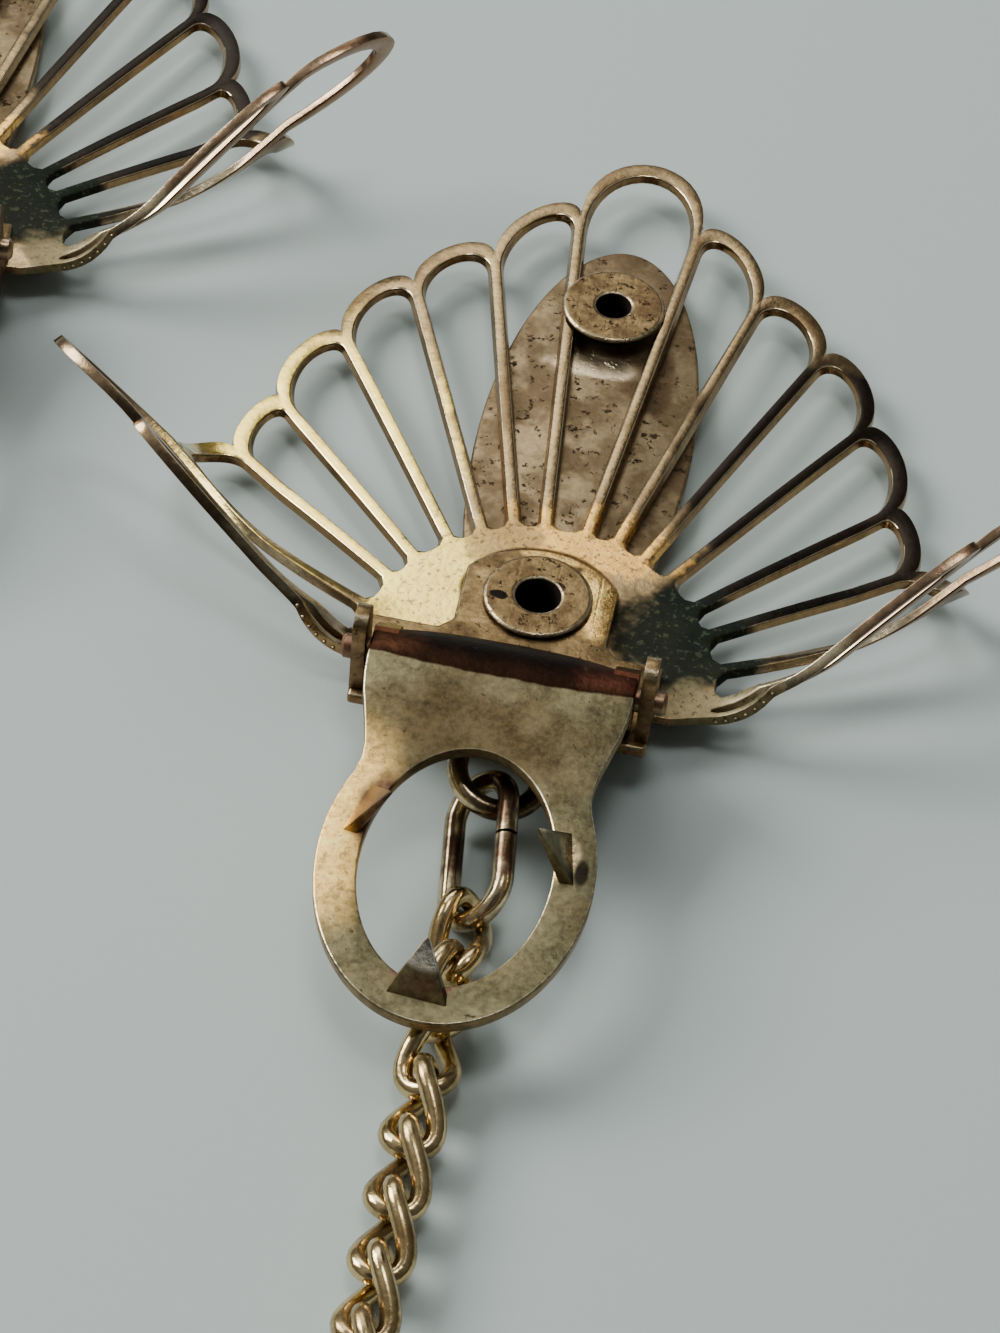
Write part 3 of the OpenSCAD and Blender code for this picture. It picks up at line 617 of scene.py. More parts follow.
class MeshKit:
    """Mesh steps that several pieces share. All meshes are worked in millimetres."""

    @staticmethod
    def loop(bm, points: list[Vector], closed: bool = True) -> list:
        """Adds vertices joined by edges in order and returns the edges."""
        verts = [bm.verts.new(p) for p in points]
        pairs = list(zip(verts, verts[1:])) + ([(verts[-1], verts[0])] if closed else [])
        return [bm.edges.new(pair) for pair in pairs]

    @staticmethod
    def grow(bm, edges: list, move: Callable[[Vector], Vector]) -> list:
        """Extrudes edges and moves each new vertex by a rule from its source's place.

        Args:
            bm: The mesh.
            edges: The edges to extrude.
            move: Gives the new place for the old one.

        Returns:
            The new edges.
        """
        made = bmesh.ops.extrude_edge_only(bm, edges=edges)["geom"]
        fresh = [g for g in made if isinstance(g, bmesh.types.BMVert)]
        for vert in fresh:
            vert.co = move(vert.co.copy())
        return [g for g in made if isinstance(g, bmesh.types.BMEdge) and all(v in fresh for v in g.verts)]

    @staticmethod
    def key(point: Vector) -> tuple[float, ...]:
        """Returns a point rounded, to find it again."""
        return tuple(round(c, 5) for c in point)

    @classmethod
    def grow_to(cls, bm, edges: list, places: list[Vector], goals: list[Vector]) -> list:
        """Extrudes edges so that the vertex at each place comes to its goal, and returns the new edges."""
        goal_of = {cls.key(place): goal for place, goal in zip(places, goals)}
        return cls.grow(bm, edges, lambda p: goal_of[cls.key(p)])

    @staticmethod
    def weld(bm, distance: float = 1e-4) -> None:
        """Merges vertices that lie together."""
        bmesh.ops.remove_doubles(bm, verts=bm.verts, dist=distance)

    @staticmethod
    def soften(
        bm, size: float, segments: int, angle: float, chosen: Callable[[object], bool] = lambda e: True
    ) -> None:
        """Rounds the edges that are sharper than an angle.

        Args:
            bm: The mesh.
            size: How far the rounding reaches from an edge.
            segments: Its number of faces across.
            angle: The angle, in degrees.
            chosen: Says of an edge whether it is one to round.
        """
        sharp = (e for e in bm.edges if len(e.link_faces) == 2 and e.calc_face_angle(0) > radians(angle))
        edges = [e for e in sharp if chosen(e)]
        bmesh.ops.bevel(
            bm, geom=edges, offset=size, offset_type="OFFSET", segments=segments, profile=0.5,
            affect="EDGES", clamp_overlap=True, material=-1,
        )

    @staticmethod
    def plate(outline: list[Vector], thickness: float, holes: Iterable[list[Vector]] = ()):
        """Makes a flat plate with its back face at its outline's height and its thickness below.

        Args:
            outline: The outer points, anticlockwise.
            thickness: How far the plate goes down.
            holes: The outlines of its openings.

        Returns:
            The mesh.
        """
        bm = bmesh.new()
        edges = MeshKit.loop(bm, outline)
        for hole in holes:
            edges += MeshKit.loop(bm, hole)
        bmesh.ops.triangle_fill(bm, edges=edges, use_beauty=True, use_dissolve=False, normal=(0, 0, 1))
        made = bmesh.ops.extrude_face_region(bm, geom=bm.faces[:])["geom"]
        verts = [g for g in made if isinstance(g, bmesh.types.BMVert)]
        bmesh.ops.translate(bm, verts=verts, vec=(0, 0, -thickness))
        bmesh.ops.recalc_face_normals(bm, faces=bm.faces)
        return bm

    @staticmethod
    def at(z: float, *pairs: Pair) -> list[Vector]:
        """Returns points at one height from pairs of x and y."""
        return [Vector((x, y, z)) for x, y in pairs]

    @staticmethod
    def arc(
        centre: Triple, half: Pair, start: float, sweep: float, steps: int
    ) -> list[Vector]:
        """Returns points along a part of a level oval.

        Args:
            centre: The oval's middle.
            half: Half its width and half its length.
            start: Angle of the first point, in radians.
            sweep: Angle from the first point to the last.
            steps: Number of steps between them.
        """
        turns = (start + sweep * i / steps for i in range(steps + 1))
        x, y, z = centre
        return [Vector((x + half[0] * cos(t), y + half[1] * sin(t), z)) for t in turns]

    @classmethod
    def oval(
        cls, centre: Triple, half: Pair, steps: int = 96
    ) -> list[Vector]:
        """Returns the points of a level oval."""
        return cls.arc(centre, half, 0.0, 2 * pi, steps)[:-1]

    @classmethod
    def circle(cls, centre: Triple, radius: float, steps: int = 40) -> list[Vector]:
        """Returns the points of a level circle."""
        return cls.oval(centre, (radius, radius), steps)

    @classmethod
    def stood(cls, outline: list[Vector], thickness: float, x: float, holes: Iterable[list[Vector]] = ()):
        """Makes a plate and stands it up: its drawn x lies along Y, its drawn y along Z."""
        bm = cls.plate(outline, thickness, holes)
        turn = Matrix(((0, 0, 1, x + thickness), (1, 0, 0, 0), (0, 1, 0, 0), (0, 0, 0, 1)))
        bmesh.ops.transform(bm, matrix=turn, verts=bm.verts)
        return bm

    @staticmethod
    def join(parts: Iterable):
        """Puts several meshes in one."""
        whole = bmesh.new()
        for part in parts:
            mesh = bpy.data.meshes.new("part")
            part.to_mesh(mesh)
            part.free()
            whole.from_mesh(mesh)
            bpy.data.meshes.remove(mesh)
        return whole

    @staticmethod
    def turned(profile: list[Pair], steps: int = 64):
        """Spins a closed profile of (radius, height) round Z."""
        bm = bmesh.new()
        edges = MeshKit.loop(bm, [Vector((r, 0, z)) for r, z in profile])
        bmesh.ops.spin(
            bm, geom=[*bm.verts, *edges], cent=(0, 0, 0), axis=(0, 0, 1), angle=2 * pi,
            steps=steps, use_merge=True, use_duplicate=False,
        )
        MeshKit.weld(bm)
        bmesh.ops.recalc_face_normals(bm, faces=bm.faces)
        return bm

    @staticmethod
    def wire(paths: list[list[Vector]], radius: float, sides: int, closed: bool = True):
        """Makes round wire along paths, each a spline of one curve."""
        curve = bpy.data.curves.new("wire", "CURVE")
        curve.dimensions = "3D"
        curve.bevel_depth = radius
        curve.bevel_resolution = max(0, sides // 2 - 2)
        curve.use_fill_caps = not closed
        for path in paths:
            spline = curve.splines.new("POLY")
            spline.points.add(len(path) - 1)
            spline.use_cyclic_u = closed
            for point, place in zip(spline.points, path):
                point.co = (*place, 1.0)
        holder = bpy.data.objects.new("wire", curve)
        bpy.context.collection.objects.link(holder)
        mesh = bpy.data.meshes.new_from_object(holder.evaluated_get(bpy.context.evaluated_depsgraph_get()))
        bm = bmesh.new()
        bm.from_mesh(mesh)
        bpy.data.objects.remove(holder)
        bpy.data.curves.remove(curve)
        bpy.data.meshes.remove(mesh)
        MeshKit.weld(bm)
        bmesh.ops.recalc_face_normals(bm, faces=bm.faces)
        return bm


def add_object(name: str, data: bpy.types.ID, matrix: Matrix = Matrix.Identity(4)) -> bpy.types.Object:
    """Adds an object to the scene, at a place in metres."""
    thing = bpy.data.objects.new(name, data)
    thing.matrix_world = matrix
    bpy.context.collection.objects.link(thing)
    return thing


def hand_over(
    bm, name: str, nodes: Iterable[str], material: bpy.types.Material,
    matrix: Matrix = Matrix.Identity(4), sharp: float = 40.0, body: Body = Body.CLIPS,
) -> None:
    """Turns a mesh in millimetres into a finished piece of the scene.

    Args:
        bm: The mesh, which is freed.
        name: The piece's name.
        nodes: CAD nodes that it stands for.
        material: Its finish.
        matrix: Its place, in millimetres.
        sharp: Edges sharper than this angle stay sharp.
        body: The body that it rides on.
    """
    bmesh.ops.transform(bm, matrix=Matrix.Scale(MM, 4) @ matrix, verts=bm.verts)
    mesh = bpy.data.meshes.new(name)
    bm.to_mesh(mesh)
    bm.free()
    mesh.shade_smooth()
    mesh.set_sharp_from_angle(angle=radians(sharp))
    mesh.materials.append(material)
    piece = add_object(name, mesh)
    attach(piece, body.value)
    for node in nodes:
        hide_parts(node)
    LOG.info("%s: %d faces on %s", name, len(mesh.polygons), body.value)


# ---- Fan ----------------------------------------------------------------------------------


@dataclass(frozen=True)
class Rib:
    """One rib of the right half of the fan.

    Args:
        azimuth: Its direction from the fan's middle line, in degrees.
        notch: Radius of its outer end, as a share of the fan's reach.
        root: Radius of its inner end, as a share of the fan's reach.
    """

    azimuth: float
    notch: float
    root: float


@dataclass
class FanSheet:
    """The pierced sheet with its two folded wings, and the beads on its front.

    Args:
        reach: The fan's radius, from a centre that lies drop below the lower rivet and offset beside it.
        rim: Width of the band outside the petals' openings.
        haunch: How far the openings' round ends start below the notches.
        edge: How far the rounding of an opening's back edge reaches.
        folds: Angles of the left and the right wing, in degrees.
        fold_rib: The rib whose notch the fold line passes, moved by fold_shift.
        petals: How far each petal's edge bulges past its notches, from the middle one outwards.
        wing_cells: Petals on each side without beads.
        plated: Half width and top of the front that the oval plate covers.
    """

    reach: float = 29.9
    drop: float = 4.2
    offset: float = 0.38
    sheet: float = 0.38
    rib_width: float = 0.48
    draft: float = 0.08
    rim: float = 0.82
    haunch: float = 0.65
    edge: float = 0.09
    root_gain: float = 1.6
    notch_gain: float = 1.2
    root_dip: float = 1.4
    folds: Pair = (57.0, 72.0)
    fold_rib: int = 5
    fold_azimuth: float = 50.0
    fold_radius: float = 2.2
    fold_taper: float = 0.25
    fold_shift: Pair = (0.1, -0.3)
    fold_spread: float = 1.4
    flat_half: float = 6.1
    hub_share: float = 0.8
    hub_low: float = 4.1
    hub_rings: tuple[float, ...] = (0.35, 0.7, 1.0)
    bore: float = 1.25
    ribs: tuple[Rib, ...] = (
        Rib(5.4, 0.877, 0.279), Rib(13.4, 0.790, 0.281), Rib(22, 0.743, 0.271), Rib(31.4, 0.676, 0.264),
        Rib(42.7, 0.602, 0.257), Rib(52.8, 0.557, 0.247), Rib(66, 0.545, 0.237), Rib(79.5, 0.56, 0.227),
        Rib(85.5, 0.43, 0.222),
    )
    petals: tuple[float, ...] = (0.123, 0.05, 0.042, 0.042, 0.034, 0.018, 0.04, 0.2, 0.08)
    rib_steps: int = 18
    arc_steps: int = 20
    hub_steps: int = 4
    bead: float = 0.09
    bead_pitch: float = 0.3
    bead_inset: float = 0.26
    bead_sink: float = 0.05
    edge_bead_depth: float = 0.65
    edge_bead_run: int = 36
    wing_cells: int = 3
    dome_start: float = 3.0
    dome_end: float = 11.0
    dome_rate: float = 0.007
    flange: float = 0.25
    plated: Pair = (4.6, 21.4)

    def row(self, j: int) -> Triple:
        """Returns rib j's azimuth, notch radius and root radius, counted from the left."""
        side = len(self.ribs)
        rib = self.ribs[side - 1 - j] if j < side else self.ribs[j - side]
        return (-rib.azimuth if j < side else rib.azimuth, rib.notch * self.reach, rib.root * self.reach)

    @property
    def cells(self) -> int:
        """Returns the number of petals."""
        return 2 * len(self.ribs) - 1

    def polar(self, azimuth: float, radius: float, depth: float = 0.0) -> Vector:
        """Returns a point of the flat pattern, depth below its back face."""
        turn = radians(azimuth)
        return Vector((radius * sin(turn), radius * cos(turn) - self.drop, -depth))

    @staticmethod
    def dome(t: float) -> float:
        """Returns the height of a half circle at share t of its width."""
        return sqrt(max(0.0, 1 - (2 * t - 1) ** 2))

    def lowered(self, inset: float) -> float:
        """Returns how far an opening's rounded end starts below its petal's notch."""
        return self.haunch * min(1.0, inset / (self.rib_width / 2 - self.edge))

    def side(self, j: int, t: float, inset: float, left: bool) -> Pair:
        """Returns azimuth and radius on a petal's left or right side."""
        azimuth, notch, root = self.row(j if left else j + 1)
        low, high = root + inset * self.root_gain, notch - inset * self.notch_gain - self.lowered(inset)
        radius = low * (1 - t) + high * t
        turn = degrees(inset / radius)
        return (azimuth + turn if left else azimuth - turn, radius)

    def arc(self, j: int, t: float, inset: float, rim: float) -> Pair:
        """Returns azimuth and radius on a petal's outer edge."""
        share = (1 - cos(pi * t)) / 2
        a, b = self.side(j, 1, inset, True), self.side(j, 1, inset, False)
        height = self.petals[abs(j - len(self.ribs) + 1)] * self.reach
        height += inset * self.notch_gain - rim + self.lowered(inset)
        return (a[0] + (b[0] - a[0]) * share, a[1] + (b[1] - a[1]) * share + height * self.dome(share))

    def root_arc(self, j: int, t: float, inset: float) -> Pair:
        """Returns azimuth and radius on a petal's hub end."""
        a, b = self.side(j, 0, inset, False), self.side(j, 0, inset, True)
        return (a[0] + (b[0] - a[0]) * t, a[1] + (b[1] - a[1]) * t - inset * self.root_dip * self.dome(t))

    def petal_loop(self, j: int, inset: float, rim: float) -> list[Pair]:
        """Returns one closed loop of petal j, from its left root round to it again."""
        ups, arcs, lows = self.rib_steps, self.arc_steps, self.hub_steps
        points = [self.side(j, i / ups, inset, True) for i in range(ups + 1)]
        points += [self.arc(j, i / arcs, inset, rim) for i in range(1, arcs)]
        points += [self.side(j, i / ups, inset, False) for i in range(ups, -1, -1)]
        return points + [self.root_arc(j, i / lows, inset) for i in range(1, lows)]

    def bend(self, point: Vector) -> Vector:
        """Folds a point of the flat sheet into its wing."""
        right = point.x >= 0
        fold = radians(self.folds[1 if right else 0])
        turn = radians(self.fold_azimuth)
        along, out = Vector((sin(turn), cos(turn))), Vector((cos(turn), -sin(turn)))
        rib = self.ribs[self.fold_rib]
        hinge = self.polar(rib.azimuth, rib.notch * self.reach).xy + Vector(self.fold_shift)
        flat = Vector((abs(point.x), point.y))
        past = max(0.0, min((flat - hinge).dot(out), self.fold_spread * (flat.x - self.flat_half)))
        radius = self.fold_radius + self.fold_taper * max(0.0, -(flat - hinge).dot(along))
        angle = min(past / radius, fold)
        rest, depth = past - radius * angle, -point.z
        run = (radius + depth) * sin(angle) + rest * cos(angle) - past
        rise = radius - (radius + depth) * cos(angle) + rest * sin(angle)
        moved = flat + out * run
        sag = self.dome_rate * max(0.0, min(flat.x, self.dome_end) - self.dome_start) ** 2
        return Vector((moved.x if right else -moved.x, moved.y, rise - sag))

    def edge_back(self, j: int) -> list[Vector]:
        """Returns petal j's cell edge on the sheet's back, its outer arc drawn in by the draft."""
        outer = range(self.rib_steps + 1, self.rib_steps + self.arc_steps)
        places = enumerate(self.petal_loop(j, 0, 0))
        return [self.polar(a, r - self.draft if i in outer else r) for i, (a, r) in places]

    def hub_mesh(self, bm, row: list[Vector]) -> None:
        """Adds the hub: rings of faces from its edge to the rivet's bore, on both sides.

        Args:
            bm: The sheet's mesh.
            row: The hub's upper edge from left to right.
        """
        steps = 24
        half = row[-1].x * self.hub_share
        edge = row + MeshKit.at(0, *((half * (1 - 2 * i / steps), -self.hub_low) for i in range(steps + 1)))
        centre = Vector((-self.offset, 0, 0))
        for depth in (0.0, self.sheet):
            drop = Vector((0, 0, -depth))
            places = [p + drop for p in edge]
            ring = MeshKit.loop(bm, places)
            for share in self.hub_rings:
                goals = []
                for p in edge:
                    line = p - centre
                    reach = line.length + (self.bore - line.length) * share
                    goals.append(centre + line.normalized() * reach + drop)
                ring = MeshKit.grow_to(bm, ring, places, goals)
                places = goals

    def sheet_mesh(self):
        """Makes the pierced sheet flat with rounded edges and folds its wings."""
        bm = bmesh.new()
        half, rim, draft, thick = self.rib_width / 2, self.rim, self.draft, self.sheet
        profile = (
            (-self.edge, 0.0), (-0.03, 0.014), (-0.006, 0.045), (0.0, 0.08),
            (draft, thick - 0.09), (draft - 0.03, thick - 0.03), (draft - 0.1, thick),
        )
        levels = [(half + out, rim + out, depth) for out, depth in profile] + [(0.0, 0.0, thick)]
        walls = []
        row: list[Vector] = []
        for j in range(self.cells):
            places = self.edge_back(j)
            edges = MeshKit.loop(bm, places)
            root = places[2 * self.rib_steps + self.arc_steps + 1:]
            row += [p.copy() for p in [places[0], *reversed(root)]]
            front = [self.polar(a, r, thick) for a, r in self.petal_loop(j, 0, 0)]
            walls += list(zip(places, front))
            for inset, edge_rim, depth in levels:
                goals = [self.polar(a, r, depth) for a, r in self.petal_loop(j, inset, edge_rim)]
                edges = MeshKit.grow_to(bm, edges, places, goals)
                places = goals
        row.append(self.polar(*self.side(self.cells - 1, 0, 0, False)))
        self.hub_mesh(bm, row)
        MeshKit.weld(bm, 1e-3)
        fronts = {(round(b.x, 2), round(b.y, 2)): f for b, f in walls}
        bore, down = Vector((-self.offset, 0)), Vector((0, 0, thick))
        for nearest in (self.bore + 0.2, 0.0):
            rims = [
                e for e in bm.edges
                if e.is_boundary
                and all(abs(v.co.z) < 1e-6 and (v.co.xy - bore).length > nearest for v in e.verts)
            ]
            MeshKit.grow(bm, rims, lambda p: fronts.get((round(p.x, 2), round(p.y, 2)), p - down))
            MeshKit.weld(bm, 1e-3)
        bmesh.ops.recalc_face_normals(bm, faces=bm.faces)
        MeshKit.soften(
            bm, 0.12, 3, 60, lambda e: all(min(abs(v.co.z), abs(v.co.z + thick)) < 1e-4 for v in e.verts)
        )
        for vert in bm.verts:
            vert.co = self.bend(vert.co)
        return bm

    def bead_places(self) -> list[Vector]:
        """Returns the flat places of the beads: down the ribs, round the petals and along the outer edges."""
        spots: list[Vector] = []
        inner = self.sheet - self.bead_sink
        steps = [i / 90 for i in range(91)]
        first, last = self.wing_cells, self.cells - self.wing_cells
        ribs = range(first, last + 1)
        lines = [[self.polar(*self.side(j, t, 0, True), inner) for t in steps] for j in ribs]
        for j in range(first, last):
            edge = (self.arc(j, t, 0, 0) for t in steps)
            lines.append([self.polar(a, r - self.bead_inset, inner) for a, r in edge])
        for j, left in ((0, True), (self.cells - 1, False)):
            edge = (self.side(j, t, -0.01, left) for t in steps[:self.edge_bead_run])
            lines.append([self.polar(a, r, self.sheet * self.edge_bead_depth) for a, r in edge])
        for line in lines:
            gone = 0.0
            for a, b in zip(line, line[1:]):
                gone += (b - a).length
                if gone >= self.bead_pitch:
                    spots.append(b)
                    gone = 0.0
        return spots

    def bead_mesh(self, hidden: Callable[[Vector], bool]):
        """Makes the beads, except those that another piece would cover."""
        bm = bmesh.new()
        for spot in self.bead_places():
            if not hidden(spot):
                there = Matrix.Translation(self.bend(spot))
                bmesh.ops.create_icosphere(bm, subdivisions=1, radius=self.bead, matrix=there)
        return bm

    def build(self, place: ClipPlace) -> None:
        """Adds the sheet and its beads for one clip."""
        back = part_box(place.node("upper_rivet"))[1][2] / MM - self.flange
        there = place.matrix @ Matrix.Translation((self.offset, 0, back))
        gold = Finishes.fan(place).build()
        half, top = self.plated
        beads = self.bead_mesh(lambda p: abs(p.x) < half and p.y < top)
        for name, mesh, nodes, sharp in (
            ("fan_sheet", self.sheet_mesh(), [place.node("fan")], 40.0), ("fan_beads", beads, [], 180.0),
        ):
            hand_over(mesh, place.node(name), nodes, gold, there, sharp)


# ---- Oval plate and rivets ----------------------------------------------------------------


@dataclass
class OvalPlate:
    """The oval plate in front of the fan."""

    half: float = 4.2
    top: float = 20.8
    low: float = 2.6
    middle: float = 9.6
    x: float = 0.22
    thickness: float = 0.55
    hole: float = 1.25

    def build(self, place: ClipPlace) -> None:
        """Adds the plate for one clip."""
        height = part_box(place.node("oval_plate"))[1][2] / MM
        centre, points = (self.x, self.middle, height), []
        for reach, start in ((self.top - self.middle, 0.0), (self.middle + self.low, pi)):
            points += MeshKit.arc(centre, (self.half, reach), start, pi, 60)[:-1]
        holes = [MeshKit.circle((x, y, height), self.hole) for x, y in RIVET_SPOTS]
        bm = MeshKit.plate(points, self.thickness, holes)
        MeshKit.soften(bm, 0.12, 3, 40)
        hand_over(
            bm, place.node("oval"), [place.node("oval_plate")],
            Finishes.plate(place).build(), place.matrix,
        )


@dataclass
class TubeRivet:
    """A tubular rivet with a flat head on the front and a rolled flange on the back."""

    name: str
    hole: float
    flange: float = 2.05
    head: float = 2.2
    shank: float = 1.2
    head_height: float = 0.45
    roll: float = 0.2
    floor: float = 0.5

    def build(self, place: ClipPlace, material: bpy.types.Material) -> None:
        """Adds the rivet for one clip."""
        spot = middle(place.node(self.name))
        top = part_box(place.node(self.name))[1][2] / MM
        roll = self.roll
        head, edge, hole = self.head, self.flange, self.hole
        profile = [(0.01, 0.0), (head - 0.12, 0.0), (head - 0.03, 0.03), (head, 0.12)]
        profile += [(head, self.head_height), (self.shank, self.head_height), (self.shank, top - roll)]
        profile += [(edge - 0.06, top - roll), (edge, top - roll * 0.6), (edge - 0.04, top - 0.05)]
        profile += [(edge - 0.13, top), (edge - 0.2, top), (hole + 0.2, top - 0.01)]
        profile += [(hole + 0.14, top - 0.012), (hole + 0.04, top - 0.05), (hole, top - 0.12)]
        profile += [(hole, self.floor), (0.01, self.floor)]
        hand_over(
            MeshKit.turned(profile, 72), place.node(f"{self.name}_roll"), [place.node(self.name)],
            material, Matrix.Translation((spot.x, spot.y, 0)), 50,
        )


# ---- Bracket, pin and lever ---------------------------------------------------------------


@dataclass
class Bracket:
    """The bracket: flat base with a rounded tongue, two ears and the rolled eye below."""

    width: float = 11.0
    sheet: float = 0.5
    base_top: float = -2.15
    base_low: float = -6.3
    tongue_half: float = 2.87
    tongue_top: float = 2.55
    tongue_radius: float = 3.6
    ear_half: float = 0.72
    ear_height: float = 3.5
    eye_x: float = 0.18
    eye_drop: float = 7.05
    eye_width: float = 1.2
    eye_bore: float = 0.56
    eye_wall: float = 0.24
    fillet: float = 0.5
    hole: float = 1.25
    pin_top: float = 1.9

    def outline(self, z: float) -> list[Vector]:
        """Returns the outline of the base with its tongue."""
        left, right = HINGE_X - self.width / 2, HINGE_X + self.width / 2
        half, radius, base = self.tongue_half, self.tongue_radius, self.base_top
        swing = asin(half / radius)
        points = MeshKit.at(
            z, (left, self.base_low), (right, self.base_low), (right, base), (half + self.fillet, base),
            (half, base + self.fillet),
        )
        points += MeshKit.arc(
            (0, self.tongue_top - radius, z), (radius, radius), pi / 2 - swing, 2 * swing, 24
        )
        return points + MeshKit.at(z, (-half, base + self.fillet), (-half - self.fillet, base), (left, base))

    def ear(self, x: float, back: float):
        """Makes one ear, standing on the base with its outer face at x."""
        half, foot = self.ear_half, back - self.sheet
        points = MeshKit.at(0, (HINGE_Y - half, foot), (HINGE_Y + half, foot))
        points += MeshKit.arc((HINGE_Y, back + self.ear_height - half, 0), (half, half), 0.0, pi, 20)
        bm = MeshKit.stood(points, self.sheet, x)
        MeshKit.soften(bm, 0.1, 2, 40)
        return bm

    def eye(self, back: float):
        """Makes the strip that rolls into an eye below the base."""
        wall, outer, low = self.eye_wall, self.eye_bore + self.eye_wall, back - self.sheet
        left, right = self.eye_x - self.eye_width / 2, self.eye_x + self.eye_width / 2
        profile = [(r, h) for h in (0, self.eye_width) for r in (self.eye_bore, outer)]
        bm = MeshKit.turned([profile[0], profile[1], profile[3], profile[2]], 40)
        spin = Matrix.Translation((left, -self.eye_drop, low + outer)) @ Matrix.Rotation(pi / 2, 4, "Y")
        bmesh.ops.transform(bm, matrix=spin, verts=bm.verts)
        ends = (-self.eye_drop, self.base_low + 0.1)
        strip = MeshKit.at(low + wall, (left, ends[0]), (right, ends[0]), (right, ends[1]), (left, ends[1]))
        return MeshKit.join([bm, MeshKit.plate(strip, wall)])

    def build(self, place: ClipPlace) -> None:
        """Adds the bracket for one clip."""
        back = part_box(place.node("hinge_pin"))[1][2] / MM - self.pin_top
        base = MeshKit.plate(self.outline(back), self.sheet, [MeshKit.circle((0, 0, back), self.hole)])
        MeshKit.soften(base, 0.14, 3, 25)
        left = HINGE_X - self.width / 2
        parts = [base, self.ear(left, back), self.ear(left + self.width - self.sheet, back), self.eye(back)]
        hand_over(
            MeshKit.join(parts), place.node("bracket_plate"), [place.node("bracket")],
            Finishes.bracket(place).build(), place.matrix,
        )


@dataclass
class HingePin:
    """The plain pin through both ears."""

    radius: float = 0.45
    length: float = 11.9

    def build(self, place: ClipPlace, material: bpy.types.Material) -> None:
        """Adds the pin for one clip."""
        height = middle(place.node("hinge_pin")).z
        r, h, cut = self.radius, self.length, 0.12
        bm = MeshKit.turned([(0.01, 0), (r - cut, 0), (r, cut), (r, h - cut), (r - cut, h), (0.01, h)], 40)
        there = place.matrix @ Matrix.Translation((HINGE_X - h / 2, HINGE_Y, height))
        lie = there @ Matrix.Rotation(pi / 2, 4, "Y")
        hand_over(bm, place.node("pin"), [place.node("hinge_pin")], material, lie)


